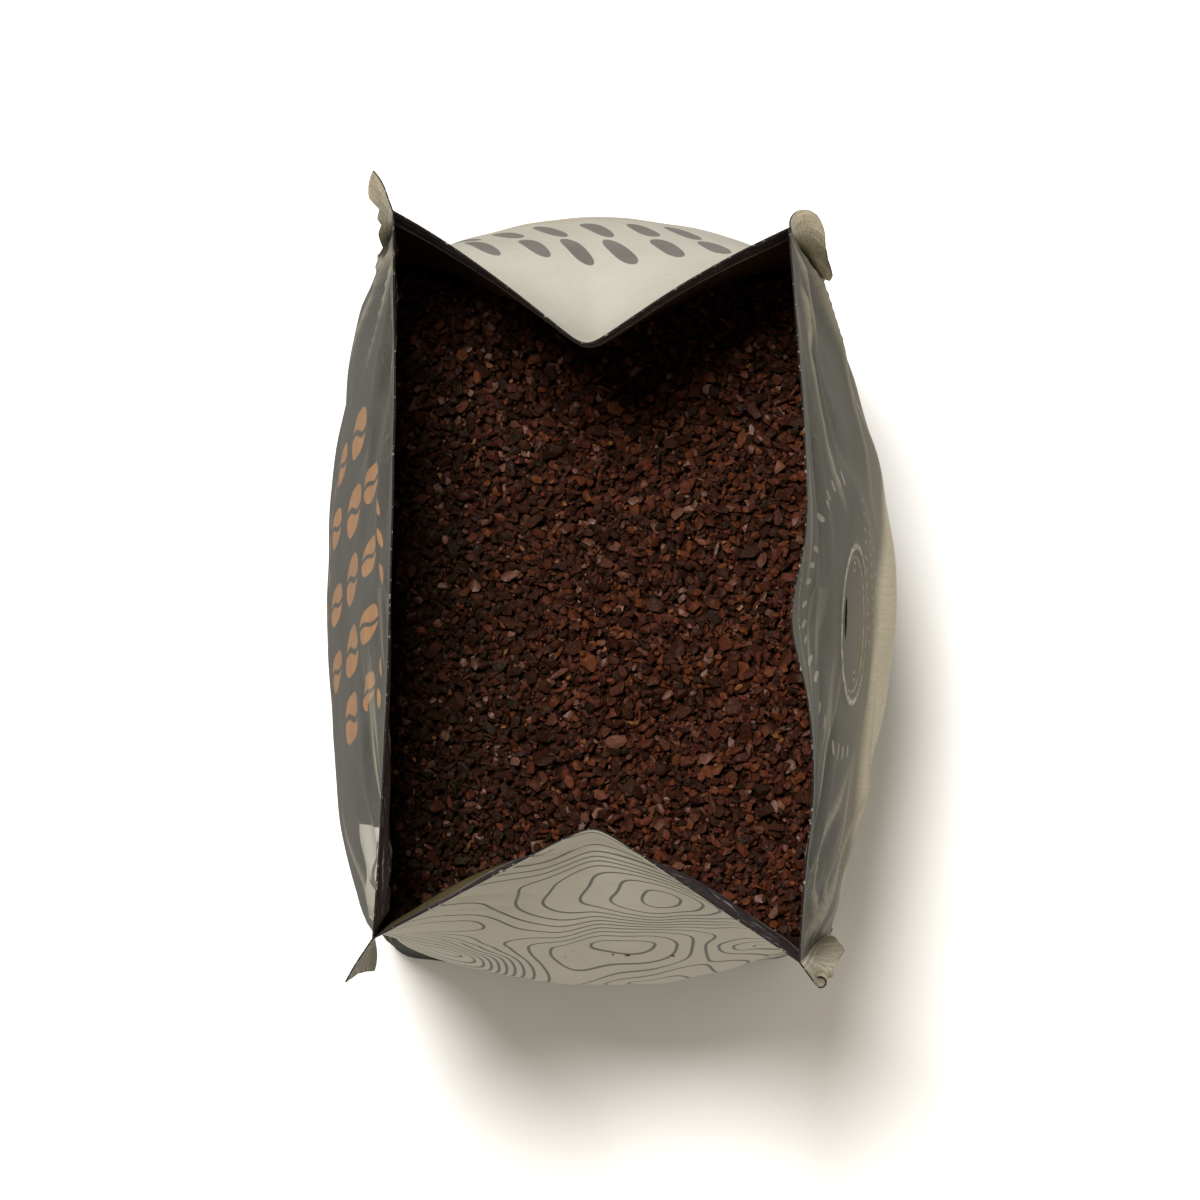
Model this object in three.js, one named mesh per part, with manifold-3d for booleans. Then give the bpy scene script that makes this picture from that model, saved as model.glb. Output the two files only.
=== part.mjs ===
// An open coffee bag of printed film with four fin seals, filled with ground coffee.
// Millimetres, +Z up. The bag stands on its flat base at z = 0, and its front panel
// with the valve faces +X. The origin is the middle of the whole outline, on the floor.
import * as THREE from 'three';
import { mergeVertices } from 'three/addons/utils/BufferGeometryUtils.js';
import Module from 'manifold-3d';

const wasm = await Module();
wasm.setup();

// Driving dimensions of the bag, in millimetres
const bag_height = 170;
const wall = 0.8;
const mouth_centre = { x: -2.57, y: 0.25 };
const fin_width = { rim: 5.4, low: 3.8 };
const fin_thickness = 0.9;
const fin_root = 0.55;
const fin_turn_depth = 70;
const fin_full_height = 46;
const fin_lowest = 9;
const fin_start_height = 3;

// Cross-sections of the bag at some depths below the rim, measured from the mouth centre.
// Corners are named by side: back is +Y, front is -Y, left is -X, right is +X.
// A bulge swells a side outwards, and a fold draws the middle of a gusset inwards.
const stations = [
  {
    depth: 0, back_left: [-24.7, 47.7], back_right: [25.6, 45.6],
    front_right: [26.9, -47.9], front_left: [-27.5, -45.4],
    left_bulge: -1.0, right_bulge: 1.9, back_bulge: 4.3, back_fold: 20.2,
    front_bulge: 0.2, front_fold: 15.8,
  },
  {
    depth: 30, back_left: [-26.5, 46.2], back_right: [27.9, 44.9],
    front_right: [29.5, -47.0], front_left: [-28.6, -45.8],
    left_bulge: 2.6, right_bulge: 4.5, back_bulge: 4.5, back_fold: 17.2,
    front_bulge: 3.6, front_fold: 9.0,
  },
  {
    depth: 60, back_left: [-28.8, 44.6], back_right: [30.5, 44.2],
    front_right: [32.2, -46.5], front_left: [-29.8, -46.4],
    left_bulge: 5.2, right_bulge: 7.4, back_bulge: 5.4, back_fold: 13.0,
    front_bulge: 6.0, front_fold: 2.5,
  },
  {
    depth: 90, back_left: [-30.0, 44.0], back_right: [32.0, 43.9],
    front_right: [33.8, -46.9], front_left: [-30.5, -47.2],
    left_bulge: 7.0, right_bulge: 9.8, back_bulge: 9.6, back_fold: 4.5,
    front_bulge: 8.2, front_fold: 0.6,
  },
  {
    depth: 120, back_left: [-30.4, 43.4], back_right: [32.1, 43.4],
    front_right: [33.5, -49.0], front_left: [-30.8, -49.2],
    left_bulge: 6.9, right_bulge: 9.5, back_bulge: 12.2, back_fold: 0.4,
    front_bulge: 6.9, front_fold: 0.3,
  },
  {
    depth: 150, back_left: [-30.7, 42.6], back_right: [31.8, 42.6],
    front_right: [32.4, -52.2], front_left: [-31.1, -52.3],
    left_bulge: 4.0, right_bulge: 5.6, back_bulge: 8.8, back_fold: 0.1,
    front_bulge: 3.2, front_fold: 0.1,
  },
  {
    depth: 170, back_left: [-30.8, 42.0], back_right: [31.5, 42.0],
    front_right: [31.5, -54.0], front_left: [-31.2, -54.0],
    left_bulge: 0.4, right_bulge: 0.5, back_bulge: 0.6, back_fold: 0.0,
    front_bulge: 0.2, front_fold: 0.0,
  },
];

// How full each bulge is: below 1 it is boxy, above 1 it is pointed. The right one leans back.
const fullness = { left: 0.62, right: 1.35, back: 0.65, front: 1.0 };
const right_lean = 0.045;
const fold_rounding = 0.06;

// Waves of the right side's rim, as places along the side, widths and heights
const rim_swell = { at: 0.76, spread: 0.12, size: 1.0 };
const rim_dent = { at: 0.5, spread: 0.06, size: -1.3 };
const rim_wave_depth = 14;

// The rounded edge round the base: height above the floor and inset in plan
const base_edge = [[0, 2.6], [1.2, 0.9], [3.5, 0.15]];
const ring_heights = [9, 22, 36, 50, 62, 74, 86, 98, 109, 119, 130, 141, 151, 161, 170];
const panel_steps = 18;
const gusset_steps = 16;

// The valve behind the right panel, and the ring that it presses into the film
const valve = { y: -4.5, height: 130, radius: 10.4, flange: 1.3 };
const valve_body = { radius: 5.4, height: 3.6, bevel: 0.7, vent_radius: 1.6, vent_depth: 0.9 };
const valve_ring = { inner: 9.0, outer: 10.9, raised: 0.5, sunk: 0.4 };
const flat_zone = { full: 15.5, fade: 24 };
const round_steps = 36;

// The cosine at which an inset corner stops growing, for very sharp folds
const sharpest_corner = 0.4;

// The gap that the coffee and the valve keep to the film
const film_gap = 0.35;

// The ground coffee: its level, its grain, one mound and the waves of its surface
const coffee_level = 109;
const coffee_floor_gap = 0.5;
const column_over_level = 12;
const mound = { x: 6, y: -6, half_x: 17, half_y: 24, height: 1.5 };
const surface_wave = { height: 1.1, per_mm_x: 0.16, per_mm_y: 0.12, start_x: 0.6, start_y: -0.8 };
const heap_half = { x: 38, y: 56 };
const heap_bottom = -5;
const cell_jitter = 0.3;
const heap_cell = 1.75;
const grain_relief = 1.15;
const coffee_seed = 20731;

// Fin directions in plan: they splay out at the rim, and low down they carry the panels on
const fins = [
  { corner: 'back_left', at_rim: [-0.5, 0.87], low: [0.0, 1.0] },
  { corner: 'back_right', at_rim: [0.62, 0.78], low: [0.3, 0.95] },
  { corner: 'front_right', at_rim: [0.57, -0.82], low: [0.5, -0.87] },
  { corner: 'front_left', at_rim: [-0.55, -0.83], low: [-0.1, -0.99] },
];

// Smooth curve through the stations' values for one depth
function station_value(read, depth) {
  const last = stations.length - 1;
  let i = 0;
  while (i < last - 1 && depth > stations[i + 1].depth) i += 1;
  const slope = (k) => {
    const a = Math.max(k - 1, 0);
    const b = Math.min(k + 1, last);
    return (read(stations[b]) - read(stations[a])) / (stations[b].depth - stations[a].depth);
  };
  const span = stations[i + 1].depth - stations[i].depth;
  const t = (depth - stations[i].depth) / span;
  const start = read(stations[i]);
  const end = read(stations[i + 1]);
  return (2 * t ** 3 - 3 * t ** 2 + 1) * start + (t ** 3 - 2 * t ** 2 + t) * span * slope(i)
    + (3 * t ** 2 - 2 * t ** 3) * end + (t ** 3 - t ** 2) * span * slope(i + 1);
}

function corner_at(name, depth) {
  return new THREE.Vector2(
    station_value((s) => s[name][0], depth),
    station_value((s) => s[name][1], depth),
  );
}

const hump = (s, power) => Math.max(4 * s * (1 - s), 0) ** power;
const wave = (s, { at, spread, size }) => size * Math.exp(-(((s - at) / spread) ** 2));

// A fold of height 1 at the middle, with a slightly rounded tip
function tent(s) {
  const lift = (u) => Math.sqrt(u * u + fold_rounding ** 2);
  return (lift(1) - lift(2 * s - 1)) / (lift(1) - lift(0));
}

// How far a point at s along a side stands out from the straight line between its corners
function stand_out(side, s, depth) {
  const bulge = station_value((k) => k[`${side}_bulge`], depth);
  const place = side === 'right' ? s + right_lean * Math.sin(Math.PI * s) : s;
  let out = bulge * hump(place, fullness[side]);
  if (side === 'back' || side === 'front') {
    out -= station_value((k) => k[`${side}_fold`], depth) * tent(s);
  }
  if (side === 'right') {
    out += (wave(s, rim_swell) + wave(s, rim_dent)) * Math.exp(-depth / rim_wave_depth);
  }
  return out;
}

// A point of the film's outer face, on one side, without the valve's flat
function side_point(side, from, to, s, depth) {
  const a = corner_at(from, depth);
  const b = corner_at(to, depth);
  const along = b.clone().sub(a);
  const outwards = new THREE.Vector2(-along.y, along.x).normalize();
  return a.addScaledVector(along, s).addScaledVector(outwards, stand_out(side, s, depth));
}

// Sides in clockwise order seen from above, so that outwards is to the left of each
const sides = [
  { name: 'right', from: 'back_right', to: 'front_right', steps: panel_steps },
  { name: 'front', from: 'front_right', to: 'front_left', steps: gusset_steps },
  { name: 'left', from: 'front_left', to: 'back_left', steps: panel_steps },
  { name: 'back', from: 'back_left', to: 'back_right', steps: gusset_steps },
];

// The right panel's surface at a width y and a height z
function right_panel_x(y, z) {
  const depth = bag_height - z;
  const top = corner_at('back_right', depth).y;
  const bottom = corner_at('front_right', depth).y;
  const s = THREE.MathUtils.clamp((top - y) / (top - bottom), 0, 1);
  return side_point('right', 'back_right', 'front_right', s, depth).x;
}

// The flat that the valve gives to the right panel: its centre and the film's slopes there
const flat = (() => {
  const step = valve.radius / 2;
  const x = right_panel_x(valve.y, valve.height);
  const rise = (right_panel_x(valve.y, valve.height + step)
    - right_panel_x(valve.y, valve.height - step)) / (2 * step);
  const turn = (right_panel_x(valve.y + step, valve.height)
    - right_panel_x(valve.y - step, valve.height)) / (2 * step);
  const normal = new THREE.Vector3(1, -turn, -rise).normalize();
  return { x, rise, turn, normal };
})();

function with_valve_flat(point, z) {
  const dy = point.y - valve.y;
  const dz = z - valve.height;
  const share = 1 - THREE.MathUtils.smoothstep(Math.hypot(dy, dz), flat_zone.full, flat_zone.fade);
  const plane_x = flat.x + flat.turn * dy + flat.rise * dz;
  return new THREE.Vector2(THREE.MathUtils.lerp(point.x, plane_x, share), point.y);
}

// One ring of the film's outer face, at a height, going clockwise seen from above
function outer_ring(z) {
  const depth = bag_height - z;
  const ring = [];
  for (const side of sides) {
    for (let i = 0; i < side.steps; i += 1) {
      const point = side_point(side.name, side.from, side.to, i / side.steps, depth);
      ring.push(side.name === 'right' ? with_valve_flat(point, z) : point);
    }
  }
  return ring;
}

// A ring moved inwards by a distance, with its corners kept sharp
function inset_ring(ring, distance) {
  const count = ring.length;
  return ring.map((point, i) => {
    const before = point.clone().sub(ring[(i + count - 1) % count]).normalize();
    const after = ring[(i + 1) % count].clone().sub(point).normalize();
    const n1 = new THREE.Vector2(before.y, -before.x);
    const n2 = new THREE.Vector2(after.y, -after.x);
    const mid = n1.clone().add(n2).normalize();
    return point.clone().addScaledVector(mid, distance / Math.max(mid.dot(n1), sharpest_corner));
  });
}

// Levels of a shape lofted inside the film: heights with the inset at each
function levels(inset, floor, top) {
  const foot = base_edge.map(([z, extra]) => [z + floor, extra + inset]);
  const rest = ring_heights.filter((z) => z < top - 1).map((z) => [z, inset]);
  return [...foot, ...rest, [top, inset]];
}

function ring_at([z, inset]) {
  const ring = inset_ring(outer_ring(z), inset);
  return ring.map((p) => new THREE.Vector3(p.x + mouth_centre.x, p.y + mouth_centre.y, z));
}

// Triangles between two rings of equal length that go clockwise, lower ring first
function wall_triangles(count, lower, upper) {
  const triangles = [];
  for (let i = 0; i < count; i += 1) {
    const j = (i + 1) % count;
    triangles.push(lower + i, upper + i, lower + j);
    triangles.push(lower + j, upper + i, upper + j);
  }
  return triangles;
}

// A fan over one ring from a middle point, facing up or down
function cap_triangles(count, ring, middle, up) {
  const triangles = [];
  for (let i = 0; i < count; i += 1) {
    const j = (i + 1) % count;
    if (up) triangles.push(ring + j, ring + i, middle);
    else triangles.push(ring + i, ring + j, middle);
  }
  return triangles;
}

function centre_of(ring) {
  const sum = ring.reduce((total, p) => total.add(p), new THREE.Vector3());
  return sum.divideScalar(ring.length);
}

function geometry_from(points, triangles) {
  const geometry = new THREE.BufferGeometry();
  const numbers = points.flatMap((p) => p.toArray());
  geometry.setAttribute('position', new THREE.Float32BufferAttribute(numbers, 3));
  geometry.setIndex(triangles);
  geometry.computeVertexNormals();
  return geometry;
}

// A closed solid lofted through rings, with a flat foot and a flat top
function loft(rings) {
  const count = rings[0].length;
  const points = rings.flat();
  const triangles = [];
  for (let k = 0; k + 1 < rings.length; k += 1) {
    triangles.push(...wall_triangles(count, k * count, (k + 1) * count));
  }
  points.push(centre_of(rings[0]), centre_of(rings.at(-1)));
  triangles.push(...cap_triangles(count, 0, points.length - 2, false));
  triangles.push(...cap_triangles(count, (rings.length - 1) * count, points.length - 1, true));
  return geometry_from(points, triangles);
}

// The film as one open shell: outer face, inner face and the rim between them
function film_shell() {
  const outside = levels(0, 0, bag_height).map(ring_at);
  const inside = levels(wall, wall, bag_height).map(ring_at);
  const count = outside[0].length;
  const points = [...outside, ...inside].flat();
  const inner = outside.length * count;
  const triangles = [];
  for (let k = 0; k + 1 < outside.length; k += 1) {
    const lower = k * count;
    triangles.push(...wall_triangles(count, lower, lower + count));
    triangles.push(...wall_triangles(count, inner + lower, inner + lower + count).reverse());
  }
  const rim = inner - count;
  triangles.push(...wall_triangles(count, rim, rim + inner));
  points.push(centre_of(outside[0]), centre_of(inside[0]));
  triangles.push(...cap_triangles(count, 0, points.length - 2, false));
  triangles.push(...cap_triangles(count, inner, points.length - 1, true));
  return geometry_from(points, triangles);
}

// The heat-sealed fin along one corner, from near the base to the rim
function fin_strip({ corner, at_rim, low }) {
  const heights = [fin_lowest, ...ring_heights.filter((z) => z > fin_lowest)];
  const rings = heights.map((z) => {
    const depth = bag_height - z;
    const share = THREE.MathUtils.smoothstep(depth, 0, fin_turn_depth);
    const direction = new THREE.Vector2(...at_rim).lerp(new THREE.Vector2(...low), share).normalize();
    const across = new THREE.Vector2(-direction.y, direction.x).multiplyScalar(fin_thickness / 2);
    const taper = THREE.MathUtils.smoothstep(z, fin_start_height, fin_full_height);
    const width = THREE.MathUtils.lerp(fin_width.rim, fin_width.low, share) * taper;
    const root = corner_at(corner, depth).addScaledVector(direction, -fin_root);
    const tip = corner_at(corner, depth).addScaledVector(direction, width);
    const plan = [root.clone().add(across), tip.clone().add(across), tip.clone().sub(across),
      root.clone().sub(across)];
    return plan.map((p) => new THREE.Vector3(p.x + mouth_centre.x, p.y + mouth_centre.y, z));
  });
  return loft(rings);
}

// Turns a shape made round the Z axis to the valve's place, its +Z along the film's normal
function at_valve(geometry) {
  const turn = new THREE.Quaternion().setFromUnitVectors(new THREE.Vector3(0, 0, 1), flat.normal);
  geometry.applyQuaternion(turn);
  geometry.translate(flat.x + mouth_centre.x, valve.y + mouth_centre.y, valve.height);
  return geometry;
}

// A body of revolution round Z from a profile of [radius, height] pairs
function revolved(profile) {
  const points = profile.map(([radius, height]) => new THREE.Vector2(radius, height));
  const geometry = new THREE.LatheGeometry(points, round_steps);
  geometry.rotateX(Math.PI / 2);
  return geometry;
}

// Position-only copy of a geometry as a solid that can be joined and cut
function solid_from(geometry) {
  const plain = geometry.clone();
  plain.deleteAttribute('normal');
  plain.deleteAttribute('uv');
  const merged = mergeVertices(plain, 1e-4);
  return new wasm.Manifold(new wasm.Mesh({
    numProp: 3,
    vertProperties: new Float32Array(merged.attributes.position.array),
    triVerts: new Uint32Array(merged.index.array),
  }));
}

function geometry_from_solid(solid) {
  const mesh = solid.getMesh();
  const geometry = new THREE.BufferGeometry();
  geometry.setAttribute('position', new THREE.Float32BufferAttribute(mesh.vertProperties, 3));
  geometry.setIndex(Array.from(mesh.triVerts));
  geometry.computeVertexNormals();
  return geometry;
}

// Steady pseudo-random numbers between 0 and 1
function random_source(seed) {
  let state = seed;
  return () => {
    state = (state * 1664525 + 1013904223) % 4294967296;
    return state / 4294967296;
  };
}

// The bag: shell, fins and the ring that the valve presses into the film
function make_bag() {
  let solid = solid_from(film_shell());
  for (const fin of fins) solid = solid.add(solid_from(fin_strip(fin)));
  const { inner, outer, raised, sunk } = valve_ring;
  const bevel = (outer - inner) / 4;
  const profile = [[inner, -sunk], [outer, -sunk], [outer - bevel, raised], [inner + bevel, raised],
    [inner, -sunk]];
  solid = solid.add(solid_from(at_valve(revolved(profile))));
  return geometry_from_solid(solid);
}

// The valve: a flange against the film with a raised body, open in the middle
function make_valve() {
  const { radius, height, bevel, vent_radius, vent_depth } = valve_body;
  const face = -(wall + film_gap);
  const back = face - valve.flange;
  const body = face - height;
  const profile = [[0, body + vent_depth], [vent_radius, body + vent_depth], [vent_radius + bevel, body],
    [radius - bevel, body], [radius, body + bevel], [radius, back], [valve.radius - bevel / 2, back],
    [valve.radius, back + bevel / 2], [valve.radius, face], [0, face]];
  return at_valve(revolved(profile));
}

// Height of the heap's surface, without its grain, at a place measured from the mouth centre
function heap_height(x, y) {
  const across = ((x - mound.x) / mound.half_x) ** 2 + ((y - mound.y) / mound.half_y) ** 2;
  const { height, per_mm_x, per_mm_y, start_x, start_y } = surface_wave;
  const waves = height * Math.sin(x * per_mm_x + start_x) * Math.cos(y * per_mm_y + start_y);
  return coffee_level + mound.height * Math.exp(-across) + waves;
}

// A block with a flat bottom whose top is the heap's surface with bumps of the grains' size
function heap_block() {
  const random = random_source(coffee_seed);
  const within = (size) => (random() - 0.5) * 2 * size;
  const nx = Math.ceil((2 * heap_half.x) / heap_cell);
  const ny = Math.ceil((2 * heap_half.y) / heap_cell);
  const row = nx + 1;
  const place = (x, y, z) => new THREE.Vector3(x + mouth_centre.x, y + mouth_centre.y, z);
  const points = [];
  const triangles = [];
  for (let j = 0; j <= ny; j += 1) {
    for (let i = 0; i <= nx; i += 1) {
      const inside = i > 0 && j > 0 && i < nx && j < ny;
      const shift = inside ? heap_cell * cell_jitter : 0;
      const x = -heap_half.x + i * heap_cell + within(shift);
      const y = -heap_half.y + j * heap_cell + within(shift);
      points.push(place(x, y, heap_height(x, y) + within(grain_relief)));
      if (i < nx && j < ny) {
        const a = j * row + i;
        triangles.push(a, a + 1, a + row, a + 1, a + row + 1, a + row);
      }
    }
  }
  const border = [];
  for (let i = 0; i < nx; i += 1) border.push(i);
  for (let j = 0; j < ny; j += 1) border.push(j * row + nx);
  for (let i = nx; i > 0; i -= 1) border.push(ny * row + i);
  for (let j = ny; j > 0; j -= 1) border.push(j * row);
  const lower = points.length;
  for (const k of border) points.push(new THREE.Vector3(points[k].x, points[k].y, heap_bottom));
  points.push(place(0, 0, heap_bottom));
  border.forEach((top, k) => {
    const next = (k + 1) % border.length;
    triangles.push(lower + k, lower + next, top, lower + next, border[next], top);
    triangles.push(lower + next, lower + k, points.length - 1);
  });
  return geometry_from(points, triangles);
}

// The coffee fills the bag up to the heap's surface
function make_coffee() {
  const inset = wall + film_gap;
  const rings = levels(inset, wall + coffee_floor_gap, coffee_level + column_over_level).map(ring_at);
  return geometry_from_solid(solid_from(loft(rings)).intersect(solid_from(heap_block())));
}

const film_material = new THREE.MeshStandardMaterial({ color: 0x69655a, roughness: 0.5, metalness: 0 });
const coffee_material = new THREE.MeshStandardMaterial({ color: 0x3b2016, roughness: 0.9, metalness: 0 });
const valve_material = new THREE.MeshStandardMaterial({ color: 0x8d8a80, roughness: 0.45, metalness: 0 });

function named_mesh(name, geometry, material) {
  const mesh = new THREE.Mesh(geometry, material);
  mesh.name = name;
  return mesh;
}

const group = new THREE.Group();
group.add(named_mesh('bag', make_bag(), film_material));
group.add(named_mesh('ground_coffee', make_coffee(), coffee_material));
group.add(named_mesh('valve', make_valve(), valve_material));

export default group;
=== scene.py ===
"""An open side-gusset bag of printed film, filled with ground coffee, in Blender."""

import logging
import math
from collections.abc import Callable
from dataclasses import dataclass, field
from enum import Enum
from functools import reduce

import bpy
import numpy as np
from mathutils import Matrix, Vector


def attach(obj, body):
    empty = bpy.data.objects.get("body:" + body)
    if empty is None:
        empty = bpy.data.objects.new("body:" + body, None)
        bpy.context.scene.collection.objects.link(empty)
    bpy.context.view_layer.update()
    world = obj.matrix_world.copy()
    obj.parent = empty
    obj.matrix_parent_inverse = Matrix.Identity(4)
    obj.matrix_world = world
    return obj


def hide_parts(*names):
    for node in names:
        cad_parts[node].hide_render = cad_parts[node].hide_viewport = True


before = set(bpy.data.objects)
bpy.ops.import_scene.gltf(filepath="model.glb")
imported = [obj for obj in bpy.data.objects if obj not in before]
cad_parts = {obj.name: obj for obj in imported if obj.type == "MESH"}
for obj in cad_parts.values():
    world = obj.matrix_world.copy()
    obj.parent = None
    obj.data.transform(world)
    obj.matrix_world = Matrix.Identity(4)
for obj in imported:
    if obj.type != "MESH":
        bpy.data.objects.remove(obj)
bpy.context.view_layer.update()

log = logging.getLogger("coffee_bag")

MM = 0.001
MOUTH = np.array([-2.57, 0.25])
BAG_HEIGHT = 170.0
FILM = 0.22
BASE_MIDDLE_Y = -6.0
PANEL_HALF = 48.5
FANS_ABOVE = 5.0
FOOT_DEPTH = 125.0
LOW_FOOT_DEPTH = 154.0
FAR = 1e9
UV_NAME = "film"

Array = np.ndarray
Socket = bpy.types.NodeSocket
Value = float | tuple | Socket


class Side(Enum):
    """Sides of the bag, clockwise seen from above."""

    RIGHT = 0
    FRONT = 1
    LEFT = 2
    BACK = 3


@dataclass(frozen=True)
class Station:
    """One cross-section of the bag, in millimetres from the middle of the mouth.

    Bulges swell a side outwards in the order of Side, and folds draw the middle of the
    front and back gussets inwards.
    """

    depth: float
    back_right: tuple[float, float]
    front_right: tuple[float, float]
    front_left: tuple[float, float]
    back_left: tuple[float, float]
    bulges: tuple[float, float, float, float]
    front_fold: float
    back_fold: float


STATIONS = (
    Station(0, (25.6, 46.0), (26.9, -48.3), (-27.9, -45.3), (-25.3, 48.2), (1.9, 0.2, -1.0, 4.3), 15.8, 20.2),
    Station(30, (27.9, 44.9), (29.5, -47.0), (-28.6, -45.8), (-26.5, 46.2), (4.5, 3.6, 2.6, 4.5), 9.0, 17.2),
    Station(60, (30.5, 44.2), (32.2, -46.5), (-29.8, -46.4), (-28.8, 44.6), (7.4, 6.0, 5.2, 5.4), 2.5, 13.0),
    Station(90, (32.0, 43.9), (33.8, -46.9), (-30.5, -47.2), (-30.0, 44.0), (9.8, 8.2, 7.0, 9.6), 0.6, 4.5),
    Station(120, (32.1, 43.4), (33.5, -49.0), (-30.8, -49.2), (-30.4, 43.4), (9.5, 6.9, 6.9, 12.2), 0.3, 0.4),
    Station(150, (31.8, 42.6), (32.4, -52.2), (-31.1, -52.3), (-30.7, 42.6), (5.6, 3.2, 4.0, 8.8), 0.1, 0.1),
    Station(170, (31.5, 42.0), (31.5, -54.0), (-31.2, -54.0), (-30.8, 42.0), (0.5, 0.2, 0.4, 0.6), 0.0, 0.0),
)
CORNERS = ("back_right", "front_right", "front_left", "back_left")
INWARD = ((-0.707, -0.707), (-0.707, 0.707), (0.707, 0.707), (0.707, -0.707))


@dataclass(frozen=True)
class BagForm:
    """The outer face of the film as functions of the place along a side and the depth."""

    fullness: tuple[float, float, float, float] = (1.35, 1.15, 0.62, 0.65)
    right_lean: float = 0.045
    fold_rounding: float = 0.06
    base_edge: tuple = ((0.0, 2.6), (0.5, 1.5), (1.2, 0.9), (2.2, 0.42), (3.5, 0.15), (5.0, 0.0))
    valve_y: float = -4.5
    valve_height: float = 130.0
    flat_full: float = 15.5
    flat_fade: float = 24.0
    corner_pull: float = 1.7
    corner_reach: float = 5.2
    rounding_depths: tuple[float, float] = (66.0, 122.0)

    def along(self, values: list[float], depth: Array) -> Array:
        """Smooth curve through one value of every station.

        Args:
            values: One value for each station.
            depth: Depths below the rim, in millimetres.

        Returns:
            The value at each depth.
        """
        knots = np.array([s.depth for s in STATIONS], float)
        y = np.array(values, float)
        below = np.maximum(np.arange(len(y)) - 1, 0)
        above = np.minimum(np.arange(len(y)) + 1, len(y) - 1)
        slope = (y[above] - y[below]) / (knots[above] - knots[below])
        i = np.clip(np.searchsorted(knots, depth, side="right") - 1, 0, len(y) - 2)
        span = knots[i + 1] - knots[i]
        t = (np.clip(depth, 0, BAG_HEIGHT) - knots[i]) / span
        start = (2 * t**3 - 3 * t**2 + 1) * y[i] + (t**3 - 2 * t**2 + t) * span * slope[i]
        return start + (3 * t**2 - 2 * t**3) * y[i + 1] + (t**3 - t**2) * span * slope[i + 1]

    def corner(self, index: int, depth: Array) -> Array:
        """Plan position of one corner of the film at some depths."""
        name = CORNERS[index % 4]
        both = [self.along([getattr(s, name)[k] for s in STATIONS], depth) for k in (0, 1)]
        return np.stack(both, -1)

    def tent(self, s: Array) -> Array:
        """A fold of height 1 at the middle of a side, with a slightly rounded tip."""
        one = math.hypot(1, self.fold_rounding)
        return (one - np.hypot(2 * s - 1, self.fold_rounding)) / (one - self.fold_rounding)

    def stand_out(self, side: Side, s: Array, depth: Array) -> Array:
        """How far the film stands out from the straight line between a side's corners."""
        k = side.value
        place = s + self.right_lean * np.sin(np.pi * s) if side is Side.RIGHT else s
        power = self.fullness[k] + max(1.0 - self.fullness[k], 0) * bell(depth, 0, 18)
        hump = np.maximum(4 * place * (1 - place), 1e-9) ** power
        out = self.along([q.bulges[k] for q in STATIONS], depth) * hump
        if side is Side.FRONT:
            out = out - self.along([q.front_fold for q in STATIONS], depth) * self.tent(s)
        elif side is Side.BACK:
            out = out - self.along([q.back_fold for q in STATIONS], depth) * self.tent(s)
        return out

    def plan(self, side: Side, s: Array, depth: Array, extra: Array | float = 0.0) -> Array:
        """Plan positions on one side of the film.

        Args:
            side: The side of the bag.
            s: Place along the side, from 0 at its first corner to 1 at its second.
            depth: Depth below the rim, in millimetres.
            extra: Distance to move outwards, in millimetres.

        Returns:
            Positions from the middle of the mouth, in millimetres.
        """
        first = self.corner(side.value, depth)
        line = self.corner(side.value + 1, depth) - first
        normal = unit(np.stack([-line[..., 1], line[..., 0]], -1))
        out = self.stand_out(side, s, depth) + extra
        place = first + line * s[..., None] + normal * out[..., None]
        pull = self.corner_pull * smoothstep(depth, *self.rounding_depths)
        for index, corner in ((side.value, first), ((side.value + 1) % 4, first + line)):
            near = np.clip(1 - np.linalg.norm(place - corner, axis=-1) / self.corner_reach, 0, 1) ** 2
            place = place + (pull * near)[..., None] * np.array(INWARD[index])
        return place

    def valve_plane(self) -> tuple[float, float, float]:
        """The valve's flat: its x, and the film's slopes there along y and up z."""
        def panel_x(y: float, z: float) -> float:
            """The right panel's x at a place and height."""
            depth = np.array([BAG_HEIGHT - z])
            top = self.corner(0, depth)[0, 1]
            bottom = self.corner(1, depth)[0, 1]
            place = np.array([(top - y) / (top - bottom)])
            return float(self.plan(Side.RIGHT, place, depth)[0, 0])

        y, z, step = self.valve_y, self.valve_height, 5.2
        turn = (panel_x(y + step, z) - panel_x(y - step, z)) / (2 * step)
        rise = (panel_x(y, z + step) - panel_x(y, z - step)) / (2 * step)
        return panel_x(y, z), turn, rise

    def outline(self, depth: float, inset: float, steps: int) -> Array:
        """Closed outline of the film at one depth, moved inwards by a distance."""
        s = np.arange(steps) / steps
        ring = np.concatenate([self.plan(side, s, np.full(steps, depth)) for side in Side])
        before = unit(ring - np.roll(ring, 1, 0))
        after = unit(np.roll(ring, -1, 0) - ring)
        n1 = np.stack([before[:, 1], -before[:, 0]], -1)
        n2 = np.stack([after[:, 1], -after[:, 0]], -1)
        middle = unit(n1 + n2)
        reach = inset / np.maximum((middle * n1).sum(1), 0.4)
        return ring + middle * reach[:, None]


def smoothstep(value: Array, low: float, high: float) -> Array:
    """Smooth step from 0 at low to 1 at high."""
    t = np.clip((value - low) / (high - low), 0, 1)
    return t * t * (3 - 2 * t)


def unit(vectors: Array) -> Array:
    """Vectors scaled to a length of 1."""
    return vectors / np.linalg.norm(vectors, axis=-1, keepdims=True)


def turned(a: Array, b: Array, angle: Array) -> tuple[Array, Array]:
    """Turns each row of pairs of coordinates by its own angle."""
    cos, sin = np.cos(angle)[:, None], np.sin(angle)[:, None]
    return a * cos - b * sin, a * sin + b * cos


def closed(rows: Array) -> Array:
    """Rows with their first column once more at the end."""
    return np.concatenate([rows, rows[:, :1]], 1)


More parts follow.
